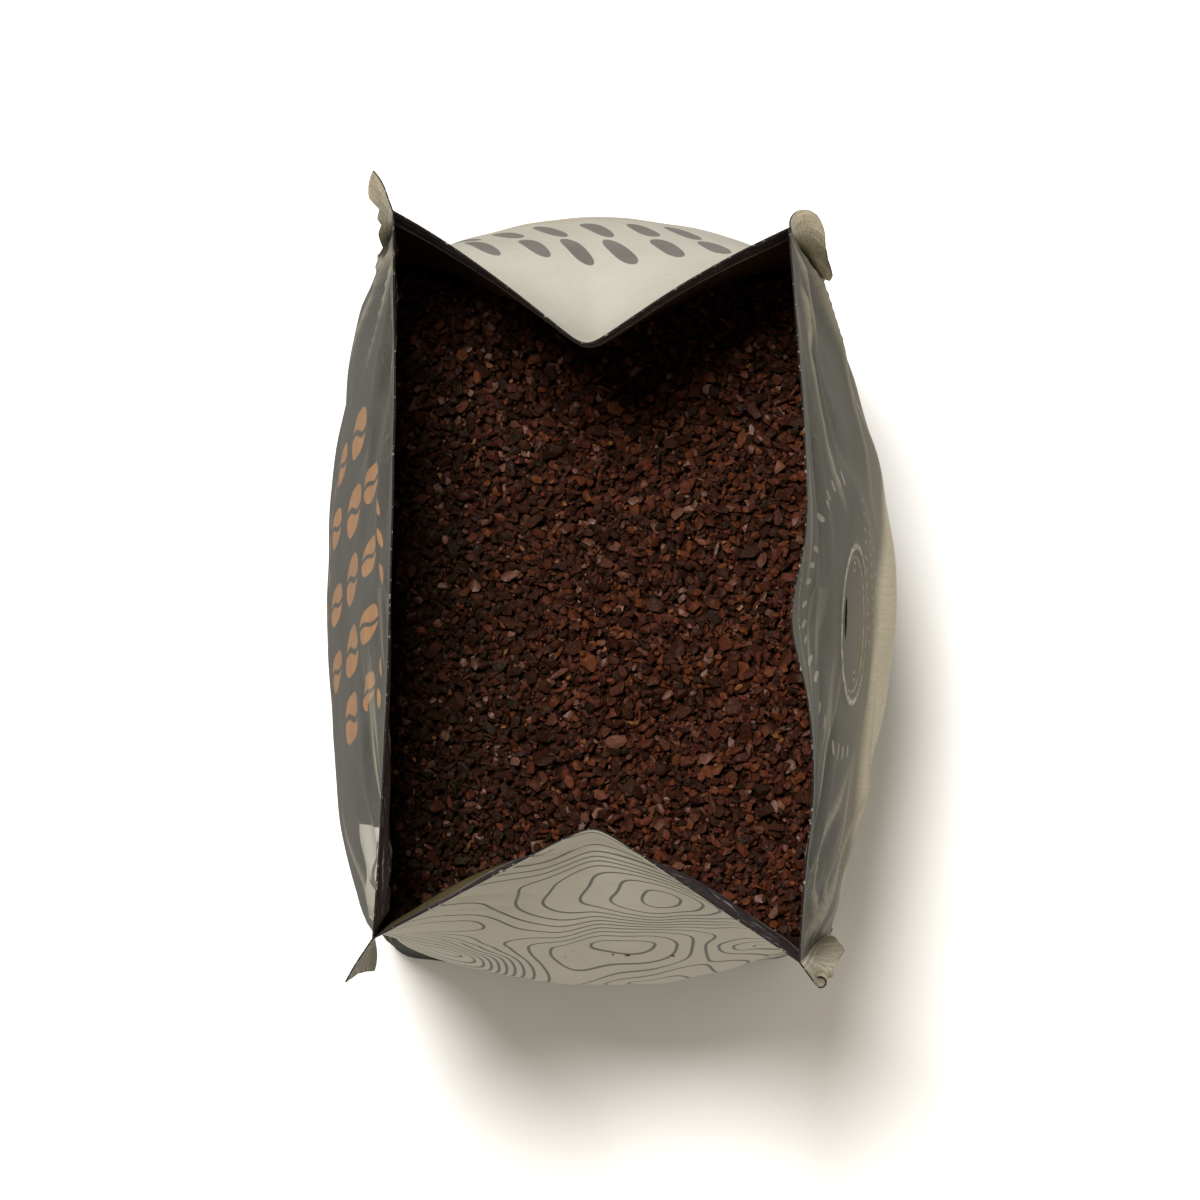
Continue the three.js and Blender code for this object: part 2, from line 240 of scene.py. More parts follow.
def from_segment(x: Array, y: Array, start: Array, end: Array) -> tuple[Array, Array]:
    """Distance of places from a line segment, and their share of the way along it."""
    line = end - start
    share = np.clip(((x - start[0]) * line[0] + (y - start[1]) * line[1]) / (line @ line), 0, 1)
    return np.hypot(x - start[0] - share * line[0], y - start[1] - share * line[1]), share


def bell(value: Array, middle: float, width: float) -> Array:
    """Bell curve of height 1 round a middle."""
    return np.exp(-(((value - middle) / width) ** 2))


def spaced(*runs: tuple[float, float, int]) -> Array:
    """Evenly spaced values in runs of start, end and count, each without its end."""
    return np.concatenate([np.linspace(*run, endpoint=False) for run in runs])


def stepped(*runs: tuple[float, float, float]) -> Array:
    """Values in runs of start, end and step, each without its end."""
    return np.concatenate([np.arange(*run) for run in runs])


def ripples(u: Array, v: Array, wavelength: float, seed: int, count: int = 7) -> Array:
    """A sum of seeded waves with a height of about 1.

    Args:
        u: First coordinate, in millimetres.
        v: Second coordinate, in millimetres.
        wavelength: Usual distance between crests, in millimetres.
        seed: Seed of the waves' directions and phases.
        count: Number of waves.

    Returns:
        The height at each place.
    """
    random = np.random.default_rng(seed)
    total = np.zeros_like(u, float)
    for _ in range(count):
        angle = random.uniform(0, math.pi)
        rate = 2 * math.pi / (wavelength * random.uniform(0.7, 1.6))
        phase = random.uniform(0, 2 * math.pi)
        total += np.sin((u * math.cos(angle) + v * math.sin(angle)) * rate + phase)
    return total / math.sqrt(count)


def new_grid(name: str, columns: int, rows: int) -> bpy.types.Object:
    """Adds a grid primitive whose vertices run along the columns first."""
    bpy.ops.object.select_all(action="DESELECT")
    bpy.ops.mesh.primitive_grid_add(x_subdivisions=columns, y_subdivisions=rows, size=2)
    piece = bpy.context.object
    piece.name = name
    piece.data.name = name
    return piece


def place_vertices(piece: bpy.types.Object, points: Array) -> None:
    """Moves a piece's vertices to points given in millimetres."""
    piece.data.vertices.foreach_set("co", np.asarray(points * MM, np.float32).ravel())
    piece.data.update()


def close_mesh(piece: bpy.types.Object, distance: float = 1e-6) -> None:
    """Merges doubled vertices and turns the faces outwards."""
    bpy.ops.object.mode_set(mode="EDIT")
    bpy.ops.mesh.select_all(action="SELECT")
    bpy.ops.mesh.remove_doubles(threshold=distance)
    bpy.ops.mesh.dissolve_degenerate(threshold=distance)
    bpy.ops.mesh.normals_make_consistent(inside=False)
    bpy.ops.mesh.select_all(action="DESELECT")
    bpy.ops.object.mode_set(mode="OBJECT")


def apply_solidify(
    piece: bpy.types.Object, thickness: float, inner_slots: int = 0, edge_slots: int = 0, offset: float = -1.0
) -> None:
    """Gives a surface its thickness.

    Args:
        piece: The piece, a single surface.
        thickness: Thickness in millimetres.
        inner_slots: How many material slots the inner face lies after the outer one.
        edge_slots: How many material slots the edge lies after the outer face.
        offset: -1 for thickness on the inside, 0 for both sides.
    """
    modifier = piece.modifiers.new("thickness", "SOLIDIFY")
    modifier.thickness = thickness * MM
    modifier.offset = offset
    modifier.use_even_offset = True
    modifier.use_quality_normals = True
    modifier.thickness_clamp = 1.0
    modifier.material_offset = inner_slots
    modifier.material_offset_rim = edge_slots
    bpy.ops.object.modifier_apply(modifier=modifier.name)


def smooth_by_angle(piece: bpy.types.Object, degrees: float) -> None:
    """Shades a piece smooth, with edges sharper than an angle kept sharp."""
    bpy.ops.object.select_all(action="DESELECT")
    piece.select_set(True)
    bpy.context.view_layer.objects.active = piece
    bpy.ops.object.shade_smooth_by_angle(angle=math.radians(degrees))


def set_points(piece: bpy.types.Object, name: str, values: Array) -> None:
    """Stores one number for each vertex under a name."""
    attribute = piece.data.attributes.new(name, "FLOAT", "POINT")
    attribute.data.foreach_set("value", np.asarray(values, np.float32))


def new_flat_shaded(name: str, points: Array, faces: Array) -> bpy.types.Object:
    """Makes a flat-shaded piece of many loose bodies from points in metres and triangles."""
    mesh = bpy.data.meshes.new(name)
    mesh.vertices.add(len(points))
    mesh.vertices.foreach_set("co", points.astype(np.float32).ravel())
    mesh.loops.add(faces.size)
    mesh.loops.foreach_set("vertex_index", faces.astype(np.int32).ravel())
    mesh.polygons.add(len(faces))
    mesh.polygons.foreach_set("loop_start", np.arange(len(faces), dtype=np.int32) * 3)
    mesh.polygons.foreach_set("use_smooth", np.zeros(len(faces), bool))
    mesh.update(calc_edges=True)
    mesh.validate()
    piece = bpy.data.objects.new(name, mesh)
    bpy.context.collection.objects.link(piece)
    return piece


def lay_uv(piece: bpy.types.Object, u: Array, v: Array) -> None:
    """Writes the UV map of a piece that is still a grid.

    Args:
        piece: The grid.
        u: First coordinate, by row of vertices, column of faces, and left or right edge.
        v: Second coordinate of each row of vertices.
    """
    rows, columns = u.shape[0] - 1, u.shape[1]
    coordinates = np.zeros((rows, columns, 4, 2), np.float32)
    for corner, (row, column) in enumerate(((0, 0), (0, 1), (1, 1), (1, 0))):
        coordinates[:, :, corner, 0] = u[row:rows + row, :, column]
        coordinates[:, :, corner, 1] = v[row:rows + row, None]
    layer = piece.data.uv_layers[0]
    layer.name = UV_NAME
    layer.uv.foreach_set("vector", coordinates.ravel())


def add_slots(piece: bpy.types.Object, count: int) -> None:
    """Adds empty material slots, to be filled once the piece has its thickness."""
    for _ in range(count):
        piece.data.materials.append(None)


def give_material(piece: bpy.types.Object, material: bpy.types.Material) -> None:
    """Gives a piece one material all over."""
    piece.data.materials.clear()
    piece.data.materials.append(material)


def declare(piece: bpy.types.Object, node: str) -> None:
    """Tells the frame which node a piece stands for: hides that node's imported part and hangs the piece
    under the root.
    """
    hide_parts(node)
    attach(piece, "root")
    log.info("%s: %d faces", piece.name, len(piece.data.polygons))


class Graph:
    """Short calls that add shader nodes to a tree and link them."""

    def __init__(self, tree: bpy.types.NodeTree) -> None:
        self.tree = tree

    def feed(self, socket: Socket, value: Value) -> None:
        """Links an input to a socket, or gives it a plain value."""
        if isinstance(value, bpy.types.NodeSocket):
            self.tree.links.new(value, socket)
        elif isinstance(value, tuple) and socket.type == "RGBA":
            socket.default_value = (*value[:3], 1.0)
        else:
            socket.default_value = value

    def add_node(self, kind: str, values: dict[str | int, Value] | None = None, **settings) -> bpy.types.Node:
        """Adds one node.

        Args:
            kind: The node's type name without its ShaderNode prefix.
            values: Values for its inputs, by name or place.
            settings: The node's own properties.

        Returns:
            The node.
        """
        node = self.tree.nodes.new(f"ShaderNode{kind}")
        for name, value in settings.items():
            setattr(node, name, value)
        for name, value in (values or {}).items():
            self.feed(node.inputs[name], value)
        return node

    def math(self, operation: str, *values: Value) -> Socket:
        """Adds one math node."""
        node = self.add_node("Math", operation=operation)
        for socket, value in zip(node.inputs, values):
            self.feed(socket, value)
        return node.outputs[0]

    def chain(self, operation: str, values: tuple[Value, ...]) -> Socket:
        """Joins two or more values in turn with one operation."""
        return reduce(lambda result, value: self.math(operation, result, value), values)

    def total(self, *values: Value) -> Socket:
        """Sum of two or more values."""
        return self.chain("ADD", values)

    def product(self, *values: Value) -> Socket:
        """Product of two or more values."""
        return self.chain("MULTIPLY", values)

    def less(self, a: Value, b: Value) -> Socket:
        """The first value less the second."""
        return self.math("SUBTRACT", a, b)

    def largest(self, *values: Value) -> Socket:
        """Largest of two or more values."""
        return self.chain("MAXIMUM", values)

    def invert(self, value: Value) -> Socket:
        """One less a value."""
        return self.less(1.0, value)

    def square(self, value: Value) -> Socket:
        """A value times itself."""
        return self.product(value, value)

    def length(self, x: Value, y: Value) -> Socket:
        """Length of a flat vector."""
        return self.math("SQRT", self.total(self.square(x), self.square(y)))

    def step(self, value: Value, edge: Value, softness: float = 0.05) -> Socket:
        """Rises smoothly from 0 to 1 as a value passes an edge."""
        values = {"Value": self.less(value, edge), "From Min": -softness, "From Max": softness}
        return self.add_node("MapRange", values, interpolation_type="SMOOTHSTEP").outputs[0]

    def inside(self, value: Value, low: Value, high: Value, softness: float = 0.05) -> Socket:
        """Is 1 between two edges."""
        below = self.step(self.product(value, -1.0), -high, softness)
        return self.product(self.step(value, low, softness), below)

    def remap(self, value: Value, low: float, high: float, to_low: float, to_high: float) -> Socket:
        """Maps one range of values onto another, clamped."""
        values = {"Value": value, "From Min": low, "From Max": high, "To Min": to_low, "To Max": to_high}
        return self.add_node("MapRange", values).outputs[0]

    def vector(self, x: Value, y: Value, z: Value = 0.0) -> Socket:
        """Makes a vector of three numbers."""
        return self.add_node("CombineXYZ", {0: x, 1: y, 2: z}).outputs[0]

    def parts(self, vector: Socket) -> tuple[Socket, Socket, Socket]:
        """Splits a vector into its three numbers."""
        node = self.add_node("SeparateXYZ", {0: vector})
        return node.outputs[0], node.outputs[1], node.outputs[2]

    def away_from(self, u: Socket, v: Socket, centre: tuple[float, float]) -> Socket:
        """Distance on the print from a centre."""
        return self.length(self.less(u, centre[0]), self.less(v, centre[1]))

    def attribute(self, name: str) -> Socket:
        """The number that a piece's points hold under a name."""
        return self.add_node("Attribute", attribute_name=name).outputs["Fac"]

    def on_object(self) -> Socket:
        """The place on the object, in metres."""
        return self.add_node("TexCoord").outputs["Object"]

    def noise(
        self, vector: Socket, scale: float, detail: float = 2.0,
        roughness: float = 0.5, distortion: float = 0.0,
    ) -> Socket:
        """Soft noise between 0 and 1."""
        values = {"Vector": vector, "Scale": scale, "Detail": detail}
        values |= {"Roughness": roughness, "Distortion": distortion}
        return self.add_node("TexNoise", values).outputs["Fac"]

    def mix(self, factor: Value, a: Value, b: Value) -> Socket:
        """Mixes two colours."""
        node = self.add_node("Mix", data_type="RGBA")
        self.feed(node.inputs[0], factor)
        self.feed(node.inputs[6], a)
        self.feed(node.inputs[7], b)
        return node.outputs[2]

    def paint(self, colour: Value, mask: Value, strength: float, ink: Value) -> Socket:
        """Lays ink over a colour where a mask is 1."""
        return self.mix(self.product(mask, strength), colour, ink)

    def streaks(
        self, x: Value, y: Value, rates: tuple[float, float], detail: float = 2.0,
        roughness: float = 0.5, seed: float = 0.0,
    ) -> Socket:
        """Soft noise drawn out into streaks, with a rate of its own in each direction."""
        spot = self.vector(self.product(x, rates[0]), self.product(y, rates[1]), seed)
        return self.noise(spot, 1.0, detail, roughness)

    def cloudy(self, place: Socket, scale: float, share: float, first: Value, second: Value) -> Socket:
        """Mixes up to a share of a second colour into a first one by soft noise."""
        return self.mix(self.remap(self.noise(place, scale, 2.0), 0.35, 0.65, 0.0, share), first, second)

    def ramp(self, value: Value, stops: tuple[tuple[float, tuple], ...]) -> Socket:
        """Colour ramp through places and colours."""
        node = self.add_node("ValToRGB", {0: value})
        elements = node.color_ramp.elements
        while len(elements) < len(stops):
            elements.new(0.5)
        for element, (place, colour) in zip(elements, stops):
            element.position = place
            element.color = (*colour, 1.0)
        return node.outputs[0]

    def bump(self, height: Value, strength: float, distance: float, normal: Socket | None = None) -> Socket:
        """Normal of a bumped surface, with the bump's height in millimetres."""
        values: dict[str | int, Value] = {"Height": height, "Strength": strength, "Distance": distance * MM}
        if normal is not None:
            values["Normal"] = normal
        return self.add_node("Bump", values).outputs[0]

    def feed_all(self, node: bpy.types.Node, **values: Value) -> None:
        """Feeds a node's inputs, with underscores in their names read as spaces."""
        for name, value in values.items():
            self.feed(node.inputs[name.replace("_", " ")], value)

    def group(self, tree: bpy.types.NodeTree, **values: Value) -> bpy.types.Node:
        """Adds a node group and feeds its inputs."""
        node = self.add_node("Group", node_tree=tree)
        self.feed_all(node, **values)
        return node


def srgb(red: int, green: int, blue: int) -> tuple[float, float, float]:
    """Linear colour from the 0 to 255 values that a screen shows."""
    def linear(value: int) -> float:
        """One channel in linear light."""
        v = value / 255
        return v / 12.92 if v <= 0.04045 else ((v + 0.055) / 1.055) ** 2.4

    return linear(red), linear(green), linear(blue)


def new_group(
    name: str, inputs: dict[str, str], outputs: dict[str, str]
) -> tuple[bpy.types.NodeTree, Graph, bpy.types.Node, bpy.types.Node]:
    """Starts a shader node group.

    Args:
        name: The group's name.
        inputs: Kinds of the inputs, by name.
        outputs: Kinds of the outputs, by name.

    Returns:
        The group, its graph, its input node and its output node.
    """
    tree = bpy.data.node_groups.new(name, "ShaderNodeTree")
    for label, kind in inputs.items():
        tree.interface.new_socket(label, in_out="INPUT", socket_type=f"NodeSocket{kind}")
    for label, kind in outputs.items():
        tree.interface.new_socket(label, in_out="OUTPUT", socket_type=f"NodeSocket{kind}")
    start = tree.nodes.new("NodeGroupInput")
    end = tree.nodes.new("NodeGroupOutput")
    return tree, Graph(tree), start, end


class Effects:
    """Shader node groups that several finishes share, each built once."""

    def __init__(self) -> None:
        self.motif_row = self.build_motif_row()
        self.wear = self.build_wear()
        self.contours = self.build_contours()
        self.fan_highlights = self.build_fan_highlights()
        self.grain_skin = self.build_grain_skin()

    def build_motif_row(self) -> bpy.types.NodeTree:
        """A row of small leaning leaf shapes, evenly spaced but each a little different."""
        inputs = {"Along": "Float", "Across": "Float", "Pitch": "Float", "Half Length": "Float"}
        inputs |= {"Half Height": "Float", "Lean": "Float", "Split": "Float", "Seed": "Float"}
        tree, g, start, end = new_group("motif_row", inputs, {"Mask": "Float", "Centre": "Float"})
        along, across, pitch, half_length, half_height, lean, split, seed = start.outputs[:8]
        place = g.math("DIVIDE", along, pitch)
        cell = g.math("FLOOR", place)
        luck = g.add_node("TexWhiteNoise", {"W": g.total(cell, seed)}, noise_dimensions="1D").outputs[0]
        local = g.product(g.less(g.less(place, cell), 0.5), pitch)
        shift = g.product(g.less(luck, 0.5), pitch, 0.22)
        x = g.math("DIVIDE", g.total(local, shift, g.product(across, lean)), half_length)
        y = g.math("DIVIDE", across, g.product(half_height, g.remap(luck, 0, 1, 0.72, 1.0)))
        body = g.invert(g.total(g.square(x), g.math("ABSOLUTE", g.product(y, y, y))))
        shape = g.step(body, 0.06, 0.06)
        curve = g.product(g.math("SINE", g.product(y, 2.6)), 0.22)
        gap = g.step(g.math("ABSOLUTE", g.less(x, curve)), 0.13, 0.05)
        cut = g.invert(g.product(split, g.invert(gap)))
        g.feed_all(end, Mask=g.product(shape, cut), Centre=g.product(g.total(cell, 0.5), pitch))
        return tree

    def build_wear(self) -> bpy.types.NodeTree:
        """Fine scratches, dull patches and soft crinkles of handled film."""
        outputs = {"Scratches": "Float", "Patches": "Float", "Crinkle": "Float"}
        tree, g, start, end = new_group("film_wear", {"Place": "Vector"}, outputs)
        place = start.outputs[0]
        u, v, _ = g.parts(place)
        lines = []
        for turn, rate in ((0.35, 1.7), (-0.9, 1.3), (1.4, 2.2)):
            along = g.total(g.product(u, math.cos(turn)), g.product(v, math.sin(turn)))
            across = g.total(g.product(u, -math.sin(turn)), g.product(v, math.cos(turn)))
            lines.append(g.step(g.streaks(along, across, (0.09, rate), 1.0, seed=rate), 0.69, 0.05))
        broken = g.step(g.noise(place, 0.12, 3.0), 0.5, 0.16)
        scratches = g.product(g.largest(*lines), broken)
        patches = g.noise(place, 0.05, 4.0, 0.6)
        fold = g.noise(g.vector(g.product(u, 0.5), g.product(v, 0.16)), 0.5, 3.0, 0.55, 0.4)
        g.feed_all(end, Scratches=scratches, Patches=patches, Crinkle=fold)
        return tree

    def build_contours(self) -> bpy.types.NodeTree:
        """Thin lines of one width along the levels of a soft noise."""
        inputs = {"Place": "Vector", "Levels": "Float", "Width": "Float"}
        tree, g, start, end = new_group("contour_lines", inputs, {"Line": "Float"})
        place, levels, width = start.outputs[:3]
        u, v, _ = g.parts(place)
        step = 0.12

        def level(du: float, dv: float) -> Socket:
            """The noise's level a little way off."""
            spot = g.vector(g.product(g.total(u, du), 0.042), g.product(g.total(v, dv), 0.042), 0.37)
            return g.product(g.noise(spot, 1.0, 0.35, 0.3), levels)

        here = level(0, 0)
        rise_u = g.math("DIVIDE", g.less(level(step, 0), here), step)
        rise_v = g.math("DIVIDE", g.less(level(0, step), here), step)
        slope = g.math("SQRT", g.total(g.square(rise_u), g.square(rise_v), 1e-5))
        off = g.math("ABSOLUTE", g.less(g.math("FRACT", here), 0.5))
        away = g.math("DIVIDE", off, slope)
        g.feed(end.inputs["Line"], g.invert(g.step(away, width, 0.07)))
        return tree

    def build_fan_highlights(self) -> bpy.types.NodeTree:
        """Thin painted highlights that fan out from both upper corners of a side, where its creased film
        catches the light.
        """
        tree, g, start, end = new_group("corner_fan_highlights", {"Place": "Vector"}, {"Highlight": "Float"})
        u, v, _ = g.parts(start.outputs[0])
        away = g.less(PANEL_HALF, g.math("ABSOLUTE", u))
        deep = g.total(v, FANS_ABOVE)
        reach = g.length(away, deep)
        turn = g.math("ARCTAN2", deep, away)
        side = g.math("SIGN", u)
        spot = g.vector(g.product(turn, 15.0), g.product(reach, 0.035), g.product(side, 3.7))
        streak = g.noise(spot, 1.0, 1.0)
        thin = g.step(streak, 0.635, 0.04)
        fade = g.product(g.step(reach, 9.0, 4.0), g.invert(g.step(reach, 40.0, 24.0)))
        g.feed(end.inputs["Highlight"], g.product(thin, fade))
        return tree

    def build_grain_skin(self) -> bpy.types.NodeTree:
        """Mottling and roughness of broken roasted coffee."""
        inputs = {"Place": "Vector", "Tint": "Float"}
        outputs = {"Color": "Color", "Height": "Float", "Gloss": "Float"}
        tree, g, start, end = new_group("grain_skin", inputs, outputs)
        place, tint = start.outputs[:2]
        stops = (
            (0.0, srgb(28, 20, 10)),
            (0.2, srgb(33, 17, 9)),
            (0.5, srgb(47, 23, 13)),
            (0.72, srgb(69, 35, 22)),
            (0.88, srgb(84, 41, 22)),
            (0.965, srgb(86, 48, 23)),
            (1.0, srgb(118, 78, 42)),
        )
        base = g.ramp(tint, stops)
        mottle = g.noise(place, 1900.0, 3.0, 0.65)
        pits = g.noise(place, 5200.0, 2.0, 0.6)
        dark = g.mix(g.remap(mottle, 0.35, 0.7, 0.0, 0.75), base, g.mix(0.62, base, srgb(14, 7, 4)))
        dust = g.step(pits, 0.64, 0.06)
        dusty = g.paint(dark, dust, 0.35, srgb(96, 56, 42))
        height = g.total(g.product(mottle, 0.7), g.product(pits, 0.45))
        g.feed_all(end, Color=dusty, Height=height, Gloss=g.remap(mottle, 0.35, 0.65, 0.34, 0.8))
        return tree


def new_material(name: str) -> tuple[bpy.types.Material, Graph, bpy.types.Node]:
    """Starts a material with an empty graph and a Principled shader."""
    material = bpy.data.materials.new(name)
    material.use_nodes = True
    material.node_tree.nodes.clear()
    g = Graph(material.node_tree)
    shader = g.add_node("BsdfPrincipled")
    out = g.add_node("OutputMaterial")
    g.feed(out.inputs["Surface"], shader.outputs[0])
    return material, g, shader


@dataclass(frozen=True)
class FilmFinish:
    """Satin printed film: colours and gloss shared by all its sides."""

    effects: Effects
    panel: tuple = srgb(62, 61, 52)
    cream: tuple = srgb(181, 179, 169)
    grey_ink: tuple = srgb(64, 62, 60)
    copper: tuple = srgb(176, 122, 66)
    pale: tuple = srgb(150, 147, 134)
    foot: tuple = srgb(24, 25, 21)
    silver: tuple = srgb(164, 158, 140)

    def place(self, g: Graph) -> tuple[Socket, Socket, Socket]:
        """The place on the film in millimetres: the vector, along its side, and depth."""
        vector = g.add_node("UVMap", uv_map=UV_NAME).outputs[0]
        u, v, _ = g.parts(vector)
        return vector, u, v

    def finish(
        self, g: Graph, shader: bpy.types.Node, colour: Socket, vector: Socket, v: Socket, dull: Value = 0.0,
        foot_from: Value = FOOT_DEPTH,
    ) -> None:
        """Adds the dark foot, the wear, the painted highlights along the creases and corner fans, and the
        gloss that every printed side has.

        Args:
            g: The material's graph.
            shader: Its Principled shader.
            colour: Colour of the print.
            vector: Place on the film.
            v: Depth below the rim.
            dull: Where the film has no gloss and takes the foot's dark colour, painted shade for the valve's
                slit and holes.
            foot_from: Depth at which the dark foot begins.
        """
        wear = g.group(self.effects.wear, Place=vector)
        # Silver along the pleat crests and the corner fans is a painted highlight where the folds catch the
        # light.
        creased = g.attribute("crease")
        # Painted highlights in streaks fanning from the upper corners, also used below as a slight bump.
        fan_highlights = g.group(self.effects.fan_highlights, Place=vector).outputs["Highlight"]
        crease = g.largest(creased, fan_highlights)
        patches, scratches = wear.outputs["Patches"], wear.outputs["Scratches"]
        soft = g.mix(g.remap(patches, 0.3, 0.7, 0.0, 0.16), colour, g.mix(0.5, colour, (1, 1, 1)))
        worn = g.paint(soft, scratches, 0.16, self.silver)
        crease_highlighted = g.paint(worn, crease, 0.82, self.silver)
        foot = g.step(v, foot_from, 0.25)
        faded = g.mix(g.remap(patches, 0.35, 0.7, 0.0, 1.0), self.foot, srgb(41, 42, 36))
        # On the foot: real scratches, plus a half-strength painted highlight along the creases.
        rubbed = g.mix(g.product(g.largest(scratches, g.product(crease, 0.5)), 0.22), faded, self.silver)
        footed = g.mix(g.largest(foot, dull), crease_highlighted, rubbed)
        rough = g.total(g.remap(patches, 0.3, 0.7, 0.42, 0.55), g.product(scratches, 0.12))
        matt = g.largest(g.product(foot, 0.88), dull)
        relief = g.total(wear.outputs["Crinkle"], g.product(fan_highlights, 0.5))
        g.feed_all(
            shader, Base_Color=footed, Roughness=rough, Normal=g.bump(relief, 0.5, 0.5),
            Specular_IOR_Level=g.remap(matt, 0.0, 1.0, 0.1, 0.0),
        )

    def leaves(
        self, g: Graph, along: Value, across: Value, seed: float, size: tuple, lean: float, split: float,
        window: tuple[float, float] | None = None,
    ) -> Socket:
        """One row of leaf shapes.

        Args:
            g: The material's graph.
            along: Distance along the row.
            across: Distance from the row's middle line.
            seed: Seed of the row's unevenness.
            size: The pitch, the half length and the half height.
            lean: How far the shapes lean.
            split: 1 for shapes with a curved slit, 0 for whole ones.
            window: Ends of the row, between which the shapes' middles lie.

        Returns:
            A mask of the shapes.
        """
        pitch, length, height = size
        row = g.group(
            self.effects.motif_row, Along=along, Across=across, Pitch=pitch, Half_Length=length,
            Half_Height=height, Lean=lean, Split=split, Seed=seed,
        )
        if window is None:
            return row.outputs["Mask"]
        return g.product(row.outputs["Mask"], g.inside(row.outputs["Centre"], *window, 0.01))

    def pale_field(self, g: Graph, u: Socket, v: Socket, colour: Socket) -> Socket:
        """Adds the pale field low on the right panel, below its curved border."""
        from_middle = g.total(u, 8.0)
        beyond = g.largest(g.less(from_middle, 8.0), 0.0)
        border = g.total(60.5, g.product(g.square(from_middle), 0.016), g.product(beyond, 0.55))
        fibre = g.streaks(u, v, (2.4, 0.1))
        field_colour = g.mix(g.remap(fibre, 0.35, 0.7, 0.0, 0.5), srgb(206, 198, 174), srgb(178, 168, 140))
        nearing = g.product(g.step(v, g.less(border, 21.0), 15.0), 0.6)
        colour = g.mix(nearing, colour, srgb(122, 114, 90))
        return g.mix(g.step(v, border, 5.0), colour, field_colour)

    def ring_and_ticks(self, g: Graph, u: Socket, v: Socket, colour: Socket) -> Socket:
        """Adds the oval ring of short marks round the valve and the rows of ticks below it."""
        ring_radius, around = 18.3, (-32.0, 26.5)
        du = g.less(u, -3.3)
        squeezed = g.product(g.less(v, 36.0), 0.62)
        off_ring = g.less(g.length(du, squeezed), ring_radius)
        arc = g.product(g.math("ARCTAN2", du, g.product(squeezed, -1.0)), ring_radius)
        marks = self.leaves(g, arc, off_ring, 3.0, (2.5, 0.42, 1.15), 0.3, 0.0, around)
        colour = g.paint(colour, marks, 0.8, self.pale)
        for row, (offset, pitch) in enumerate(((0.0, 1.9), (4.6, 1.5), (8.6, 1.7))):
            slanted = g.total(v, g.product(u, 0.45), -52.0 - offset)
            window = (-7.0 + row, 13.0 - row)
            ticks = self.leaves(g, u, slanted, 11.0 + row, (pitch, 0.3, 1.1), 0.1, 0.0, window)
            colour = g.paint(colour, ticks, 0.5, self.pale)
        return colour

    def valve_marks(
        self, g: Graph, vector: Socket, u: Socket, v: Socket, colour: Socket
    ) -> tuple[Socket, Socket]:
        """Adds the ring that the valve rubs into the film, and its slit and pinholes.

        Args:
            g: The material's graph.
            vector: Place on the film.
            u: Distance along the panel.
            v: Depth below the rim.
            colour: Colour of the print so far.

        Returns:
            The colour of the print, and a mask of the slit and the holes, whose shade is painted dark.
        """
        reach = g.away_from(u, v, (-4.5, 40.2))
        rub = g.remap(g.noise(vector, 0.9, 3.0), 0.36, 0.56, 0.15, 1.0)
        inner = g.product(g.inside(reach, 8.9, 9.2, 0.2), 0.5)
        ring = g.product(g.largest(g.inside(reach, 10.1, 10.8, 0.25), inner), rub)
        colour = g.mix(ring, colour, srgb(196, 190, 172))
        slit_u = g.math("DIVIDE", g.less(u, -3.7), 3.0)
        slit_v = g.math("DIVIDE", g.less(v, 34.4), 1.15)
        # The slit and pinholes are painted dark and matt: painted shade inside these openings.
        opening_shade = g.step(g.invert(g.total(g.square(slit_u), g.square(slit_v))), 0.1, 0.15)
        for hole in ((3.2, 40.3), (-11.4, 42.9)):
            away = g.away_from(u, v, hole)
            colour = g.mix(g.inside(away, 0.42, 0.75, 0.1), colour, self.silver)
            opening_shade = g.largest(opening_shade, g.invert(g.step(away, 0.4, 0.1)))
        return colour, opening_shade

    def worn_fold(self, g: Graph, vector: Socket, u: Socket, v: Socket, colour: Socket) -> Socket:
        """Adds the curved fold with rubbed specks near the rim of the right panel."""
        off_fold = g.total(u, 6.0)
        fold = g.less(3.3, g.product(g.square(off_fold), 0.028))
        specks = g.step(g.noise(vector, 1.6, 3.0, 0.7), 0.5, 0.08)
        on_fold = g.inside(g.less(v, fold), -0.3, 0.3, 0.2)
        rubbed = g.product(on_fold, g.inside(off_fold, -11.0, 11.0, 1.5), specks)
        return g.paint(colour, rubbed, 0.75, srgb(158, 146, 124))

    def right_panel(self) -> bpy.types.Material:
        """Dark panel with the valve: a dashed ring, tick rows, and a pale field below."""
        material, g, shader = new_material("film_right_panel")
        vector, u, v = self.place(g)
        colour = g.cloudy(vector, 0.03, 0.25, self.panel, srgb(50, 54, 51))
        colour = self.pale_field(g, u, v, colour)
        colour = self.ring_and_ticks(g, u, v, colour)
        colour, opening_shade = self.valve_marks(g, vector, u, v, colour)
        colour = self.worn_fold(g, vector, u, v, colour)
        foot_from = g.remap(u, -48.0, 4.0, LOW_FOOT_DEPTH, FOOT_DEPTH)
        self.finish(g, shader, colour, vector, v, opening_shade, foot_from)
        return material

